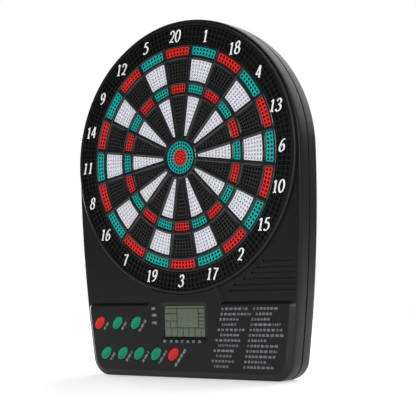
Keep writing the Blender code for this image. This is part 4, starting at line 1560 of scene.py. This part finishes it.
@dataclass
class Print:
    """The figures on the number ring and the small print of the panel, all plain numbers.

    Fields: orbit is the figures' radius and drift their shift to the left; the list fields are the two
    columns' top, pitch, first starts and shift to the left for each row; labels go beside the keys, turned
    by label_turn and label_shift away; side_marks and foot_marks go beside and under the display.
    """

    finishes: Finishes
    case: Case
    target: Target
    orbit: float = 89.3
    drift: float = -1.5
    list_top: float = 48.7
    list_pitch: float = 3.62
    list_starts: tuple[float, float] = (34.1, 60.4)
    list_shifts: tuple[float, float] = (0.98, 0.86)
    rows: tuple[tuple[str, str], ...] = (
        ("01 301-501-701-901 1-20", "11 12-18-20 25-50-100"),
        ("02 401-601-801 10-20-15 2-6", "   15-20-25-30-35"),
        ("03 20-19-18-17-16", "12 5-10-15-20-25"),
        ("   2-4-6-8-10-12", "13 100-200-300-400 1-3-5-7"),
        ("04 501 701 901 301 15-20", "14 15-20-25-30 301-501 12-18"),
        ("   10-20-30-40-50-60", "15 20-15-25-30 301-501-701-901"),
        ("05 180 120 60 20-40-60", "16 20-01 0-21-20"),
        ("   1-3-5-7-9-11-13-15", "17 10-20-30 301-501 201-401"),
        ("06 200-400-600-800", "18 12-20-16 301-501 101-0-1"),
        ("   11-12-13-14-15", "19 50-20-10 100-901 301-50"),
        ("07 20-19-18-17-16-15", "20 18-14-20 0-21-25"),
        ("   5-10-15-20-25", "21 10-20-30 301-501-901-01"),
    )
    labels: tuple[str, ...] = (
        "10-201", "20-502", "30-303-20", "4-0401", "50-505-1", "60-606-2", "7-070-70-5", "80-808-08-808"
    )
    label_turn: float = math.radians(51.0)
    label_shift: tuple[float, float] = (6.4, -2.4)
    side_marks: tuple[tuple[float, str], ...] = ((49.35, "501"), (44.45, "1201"), (38.95, "1701"))
    side_start: float = -29.3
    foot_marks: tuple[tuple[float, str], ...] = (
        (-18.9, "20"), (-12.9, "19"), (-8.0, "18"), (-2.8, "17"), (2.3, "16"), (7.3, "15"), (12.7, "25")
    )
    foot_height: float = 25.7

    def ring_figures(self) -> None:
        """Twenty upright figures, each centred on its number's direction."""
        pen = Pen(height=8.3, width=4.7, thick=0.66, thin=0.25, rise=0.18, smooth=6)
        front = box_mm("number_ring")[0][1]
        part = Surface()
        for index, number in enumerate(BED_NUMBERS):
            angle = index * BED_ANGLE
            text = str(number)
            middle_x = self.target.centre[0] + self.orbit * math.sin(angle)
            middle_z = self.target.centre[1] + self.orbit * math.cos(angle)
            reach = pen.length(text) + pen.slant * pen.height
            start = (middle_x - reach / 2.0 + self.drift, middle_z - pen.height / 2.0)
            pen.write(part, text, start, front - 0.02)
        part.build("ring_figures", [self.finishes["pad_print_white"]], HOUSING, slot=Slot.MESH)

    def panel_print(self) -> None:
        """Small grey figures: labels beside the keys, marks round the display, two columns of modes."""
        surface = self.case.panel_front
        part = Surface()
        label = Pen(height=1.75, width=1.05, thick=0.19, thin=0.14, rise=0.03, slant=0.1, smooth=2)
        cos, sin = math.cos(self.label_turn), math.sin(self.label_turn)
        for name, text in zip(Keys.names(), self.labels):
            x, z = np.add(middle_mm(name), self.label_shift)
            along, foot = label.length(text) / 2.0, label.height / 2.0
            start = (x - along * cos + foot * sin, z - along * sin - foot * cos)
            label.write(part, text, start, surface, self.label_turn)
        small = Pen(height=1.5, width=0.84, thick=0.14, thin=0.11, rise=0.03, slant=0.12, smooth=2)
        for row, pair in enumerate(self.rows):
            for text, start_x, shift in zip(pair, self.list_starts, self.list_shifts):
                start = (start_x - shift * row, self.list_top - self.list_pitch * row)
                small.write(part, text, start, surface)
        mark = Pen(height=1.7, width=1.1, thick=0.22, thin=0.17, rise=0.03, slant=0.1, smooth=2)
        for z, text in self.side_marks:
            mark.write(part, text, (self.side_start, z), surface)
        for x, text in self.foot_marks:
            mark.write(part, text, (x, self.foot_height), surface)
        part.build("panel_figures", [self.finishes["pad_print_grey"]], HOUSING, slot=Slot.CASE)

    def build(self) -> None:
        """Builds all print."""
        self.ring_figures()
        self.panel_print()


# ---------------------------------------------------------------- control panel


@dataclass
class Keys:
    """The oval keys: dished crowns with a rolled edge, on a flange behind the panel.

    LONG and SHORT are an oval's half axes and LEAN the long one's angle; flange is how far the flange
    reaches past the crown, and flange_depth how thick it is.
    """

    finishes: Finishes
    flange: float = 1.2
    flange_depth: float = 0.8
    LONG: ClassVar[float] = 5.7
    SHORT: ClassVar[float] = 3.6
    LEAN: ClassVar[float] = math.radians(45.0)

    @staticmethod
    def names() -> list[str]:
        """The keys' CAD nodes, upper row first."""
        order = ("power", "sound", "score", "game", "option", "player", "double", "start")
        return [name + "_button" for name in order]

    @staticmethod
    def outline(centre: tuple[float, float], grow: float = 0.0, share: float = 1.0) -> np.ndarray:
        """A key's ellipse.

        Args:
            centre: its middle.
            grow: what its half axes gain.
            share: what they are multiplied by first.

        Returns:
            Points (x, z), anticlockwise.
        """
        angle = np.linspace(0.0, 2.0 * math.pi, 48, endpoint=False)
        u, v = (Keys.LONG * share + grow) * np.cos(angle), (Keys.SHORT * share + grow) * np.sin(angle)
        cos, sin = math.cos(Keys.LEAN), math.sin(Keys.LEAN)
        return np.column_stack((centre[0] + u * cos - v * sin, centre[1] + u * sin + v * cos))

    def build(self) -> None:
        """Builds each key: rings from the dished middle over the rolled edge to the flange."""
        for name in self.names():
            centre = middle_mm(name)
            low, high = box_mm(name)
            front, back = low[1], high[1]
            levels = (
                (-0.985, 0.5), (-0.6, 0.5), (-0.4, 0.46), (-0.35, 0.36), (-0.3, 0.08), (-0.26, 0.0),
                (-0.2, 0.0), (-0.13, 0.03), (-0.06, 0.15), (-0.02, 0.38), (0.0, 0.75),
            )
            rings = [
                ring_of(self.outline(centre, 0.0, 1 + shrink), front + depth) for shrink, depth in levels
            ]
            part = Surface()
            part.loft(rings)
            wall, wide = self.outline(centre), self.outline(centre, self.flange)
            step = back - self.flange_depth
            part.loft([rings[-1], ring_of(wall, step), ring_of(wide, step), ring_of(wide, back)])
            part.cap(front + levels[0][1], back)
            finish, slot = "silicone_key_green", Slot.BUTTON_GREEN
            if name in ("power_button", "start_button"):
                finish, slot = "silicone_key_red", Slot.BUTTON_RED
            part.build(name + "_key", [self.finishes[finish]], name + "_body", [name], slot, 60.0)


@dataclass
class Display:
    """The display behind its window: a film with printed cells.

    Fields: line is a dividing line's width, margin its distance from the window's edge, and ink how far the
    print stands on the film.
    """

    finishes: Finishes
    line: float = 0.56
    margin: float = 0.9
    ink: tuple[float, float] = (0.01, 0.06)

    def build(self) -> None:
        """Builds the window with a rolled edge, and the cells' dividing lines on the film."""
        low, high = box_mm("lcd_window")
        middle, half = middle_mm("lcd_window"), half_mm("lcd_window")
        pane = Surface()
        edge = ((0.2, low[1]), (0.0, low[1] + 0.15), (0.0, high[1]))
        pane.loft(
            [ring_of(rounded_rectangle(middle, (half[0] - i, half[1] - i), 1.0 - i), y) for i, y in edge]
        )
        pane.cap(low[1], high[1])
        pane.build("lcd_window_pane", [self.finishes["acrylic_window"]], HOUSING, ["lcd_window"], Slot.WINDOW)

        surface = box_mm("lcd_module")[0][1]
        left, bottom = middle[0] - half[0] + self.margin, middle[1] - half[1] + self.margin / 2.0
        width, height = 2.0 * half[0] - 2.0 * self.margin, 2.0 * half[1] - self.margin
        # Shares of the display's width from the left and of its height from the top, at each line's ends.
        top, foot, left_side, right_side = 0.06, 0.725, 0.30, 0.855
        strips = [(0.0, top, 1.0, top), (left_side, top, left_side, foot)]
        strips += [(right_side, top, right_side, foot), (0.0, foot, 1.0, foot)]
        strips += [(0.0, level, left_side, level) for level in (0.24, 0.49)]
        strips += [(right_side, level, 1.0, level) for level in (0.24, 0.36, 0.49, 0.61)]
        strips.append((0.118, 0.49, 0.118, foot))
        strips += [(across, foot, across, 1.0) for across in (0.155, 0.30, 0.458, 0.605, 0.764, 0.92)]
        cells = Surface()
        for u0, v0, u1, v1 in strips:
            x0, x1 = left + width * u0 - self.line / 2.0, left + width * u1 + self.line / 2.0
            z0 = bottom + height * (1.0 - v1) - self.line / 2.0
            z1 = bottom + height * (1.0 - v0) + self.line / 2.0
            corners = np.array(((x0, z0), (x1, z0), (x1, z1), (x0, z1)))
            ring = np.stack([ring_of(corners, surface - rise) for rise in self.ink])
            cells.grid(ring)
            cells.add(ring, np.array([[0, 1, 2, 3], [7, 6, 5, 4]]))
        cells.build("lcd_cells", [self.finishes["display_cells"]], HOUSING, slot=Slot.LCD)
        dress("lcd_module", self.finishes["display_film"])


INNER_FINISHES = {
    "rubber_mat": "neoprene_black",
    "switch_membrane": "polyester_film",
    "backing_plate": "styrene_grey",
    "ribbon_cable": "polyester_film",
    "keypad_sheet": "neoprene_black",
    "circuit_board": "epoxy_board_green",
    "speaker": "tin_plate",
    "contact_strip_left": "nickel_strip",
    "contact_strip_right": "nickel_strip",
}


@dataclass
class Works:
    """What the case holds: it keeps its CAD shapes and takes its real finishes, but the cells are built.

    Fields: nub is how far a cell's positive nub stands out; steps is the columns round a cell.
    """

    finishes: Finishes
    nub: float = 1.3
    steps: int = 48

    def cells(self) -> None:
        """Three cells: a jacket with a rounded shoulder, a bare end and a positive nub."""
        for name in sorted(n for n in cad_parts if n.startswith("battery_") and n != "battery_door"):
            low, high = box_mm(name)
            radius = half_mm(name)[1]
            axis = ((low[1] + high[1]) / 2.0, (low[2] + high[2]) / 2.0)
            start, end = low[0], high[0]
            body = end - self.nub
            profile = np.array(
                (
                    (0.0, start), (radius * 0.55, start), (radius * 0.6, start + 0.15),
                    (radius * 0.86, start + 0.2), (radius - 0.25, start), (radius - 0.05, start + 0.25),
                    (radius, start + 0.7), (radius, body - 0.7), (radius - 0.05, body - 0.25),
                    (radius - 0.3, body), (radius * 0.8, body - 0.15), (2.9, body - 0.15), (2.7, body),
                    (2.7, end - 0.25), (2.45, end), (0.0, end),
                )
            )
            angle = np.linspace(0.0, 2.0 * math.pi, self.steps, endpoint=False)
            x = np.broadcast_to(profile[:, 1:], (len(profile), self.steps))
            y, z = axis[0] + profile[:, :1] * np.cos(angle), axis[1] + profile[:, :1] * np.sin(angle)
            grid = np.stack((x, y, z), axis=-1)
            part = Surface()
            part.grid(grid[:5], finish=1)
            part.grid(grid[4:10])
            part.grid(grid[9:], finish=1)
            materials = [self.finishes["cell_jacket"], self.finishes["nickel_strip"]]
            part.build(name + "_cell", materials, HOUSING, [name], Slot.CELL)

    def build(self) -> None:
        """Dresses the inner nodes and builds the cells."""
        for node, finish in INNER_FINISHES.items():
            dress(node, self.finishes[finish])
        self.cells()


# ---------------------------------------------------------------- studio


@dataclass
class Studio:
    """Floor, soft lights and the camera, in metres.

    Fields: reach is half the floor's side; boxes are each soft box's place, size and power in watts; the
    camera fields are its place and its right and up directions, and lens its focal length in mm.
    """

    finishes: Finishes
    camera_at: tuple[float, float, float] = (0.4492, -0.5871, 0.0679)
    camera_right: tuple[float, float, float] = (0.8032, 0.5951, -0.0286)
    camera_up: tuple[float, float, float] = (0.0667, -0.0420, 0.9969)
    lens: float = 87.78
    reach: float = 0.9
    boxes: tuple[tuple[str, tuple[float, float, float], tuple[float, float], float], ...] = (
        ("soft_box_key", (1.0, -1.4, 0.65), (1.0, 0.8), 21.5),
        ("soft_box_top", (0.4, 0.4, 1.5), (1.2, 1.0), 8.0),
        ("soft_box_back", (0.1, 1.5, 1.15), (2.6, 1.1), 19.0),
        ("soft_box_left", (-1.5, 0.45, 0.3), (0.9, 0.6), 14.0),
    )

    def light(
        self, name: str, at: tuple[float, float, float], size: tuple[float, float], power: float
    ) -> None:
        """A rectangular soft box that faces the board's middle.

        Args:
            name: its name.
            at: where it hangs.
            size: width and height.
            power: in watts.
        """
        lamp = bpy.data.lights.new(name, "AREA")
        lamp.shape, lamp.size, lamp.size_y, lamp.energy = "RECTANGLE", size[0], size[1], power
        holder = bpy.data.objects.new(name, lamp)
        bpy.context.scene.collection.objects.link(holder)
        holder.location = at
        aim = Vector((0.0, 0.0, 0.13)) - Vector(at)
        holder.rotation_euler = aim.to_track_quat("-Z", "Y").to_euler()

    def floor(self) -> None:
        """A flat, lit, pale table."""
        floor = bpy.data.meshes.new("studio_floor")
        corners = [(x * self.reach, y * self.reach, 0.0) for x, y in ((-1, -1), (1, -1), (1, 1), (-1, 1))]
        floor.from_pydata(corners, [], [(0, 1, 2, 3)])
        floor.materials.append(self.finishes["opal_table"])
        ground = bpy.data.objects.new("studio_floor", floor)
        bpy.context.scene.collection.objects.link(ground)

    def air(self) -> None:
        """The world: white where it is seen, and dim as light, so that black parts keep their depth."""
        world = bpy.data.worlds.new("studio_air")
        world.use_nodes = True
        tree = world.node_tree
        tree.nodes.clear()
        dim = add_node(tree, "ShaderNodeBackground", {"Color": linear("#C8CCD2"), "Strength": 0.12})
        pale = add_node(tree, "ShaderNodeBackground", {"Color": linear("#FFFFFF"), "Strength": 1.0})
        seen = add_node(tree, "ShaderNodeLightPath").outputs["Is Camera Ray"]
        mix = add_node(tree, "ShaderNodeMixShader", None, Fac=seen)
        tree.links.new(dim.outputs[0], mix.inputs[1])
        tree.links.new(pale.outputs[0], mix.inputs[2])
        add_node(tree, "ShaderNodeOutputWorld", Surface=mix.outputs[0])
        bpy.context.scene.world = world

    def camera(self) -> None:
        """The camera, turned by its right and up directions."""
        lens = bpy.data.cameras.new("studio_camera")
        lens.lens, lens.sensor_width, lens.clip_start = self.lens, 36.0, 0.01
        camera = bpy.data.objects.new("studio_camera", lens)
        bpy.context.scene.collection.objects.link(camera)
        right, up = Vector(self.camera_right).normalized(), Vector(self.camera_up).normalized()
        back = right.cross(up).normalized()
        up = back.cross(right)
        turn = Matrix((right, up, back)).transposed().to_4x4()
        camera.matrix_world = Matrix.Translation(Vector(self.camera_at)) @ turn
        bpy.context.scene.camera = camera

    def build(self) -> None:
        """Builds the floor, world, lights and camera."""
        self.floor()
        self.air()
        for name, at, size, power in self.boxes:
            self.light(name, at, size, power)
        self.camera()
        bpy.context.scene.view_settings.view_transform = "Standard"


def main() -> None:
    """Builds every sub-assembly in order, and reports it."""
    logging.basicConfig(level=logging.INFO, format="%(name)s %(message)s")
    finishes = Finishes()
    case = Case(finishes)
    target = Target(finishes)
    Studio(finishes).build()
    for assembly in (
        case,
        Screws(finishes),
        target,
        Spider(finishes, target),
        Rings(finishes, target),
        Print(finishes, case, target),
        Keys(finishes),
        Display(finishes),
        Works(finishes),
    ):
        assembly.build()
        log.info("%s is built", type(assembly).__name__)


if __name__ == "__main__":
    main()
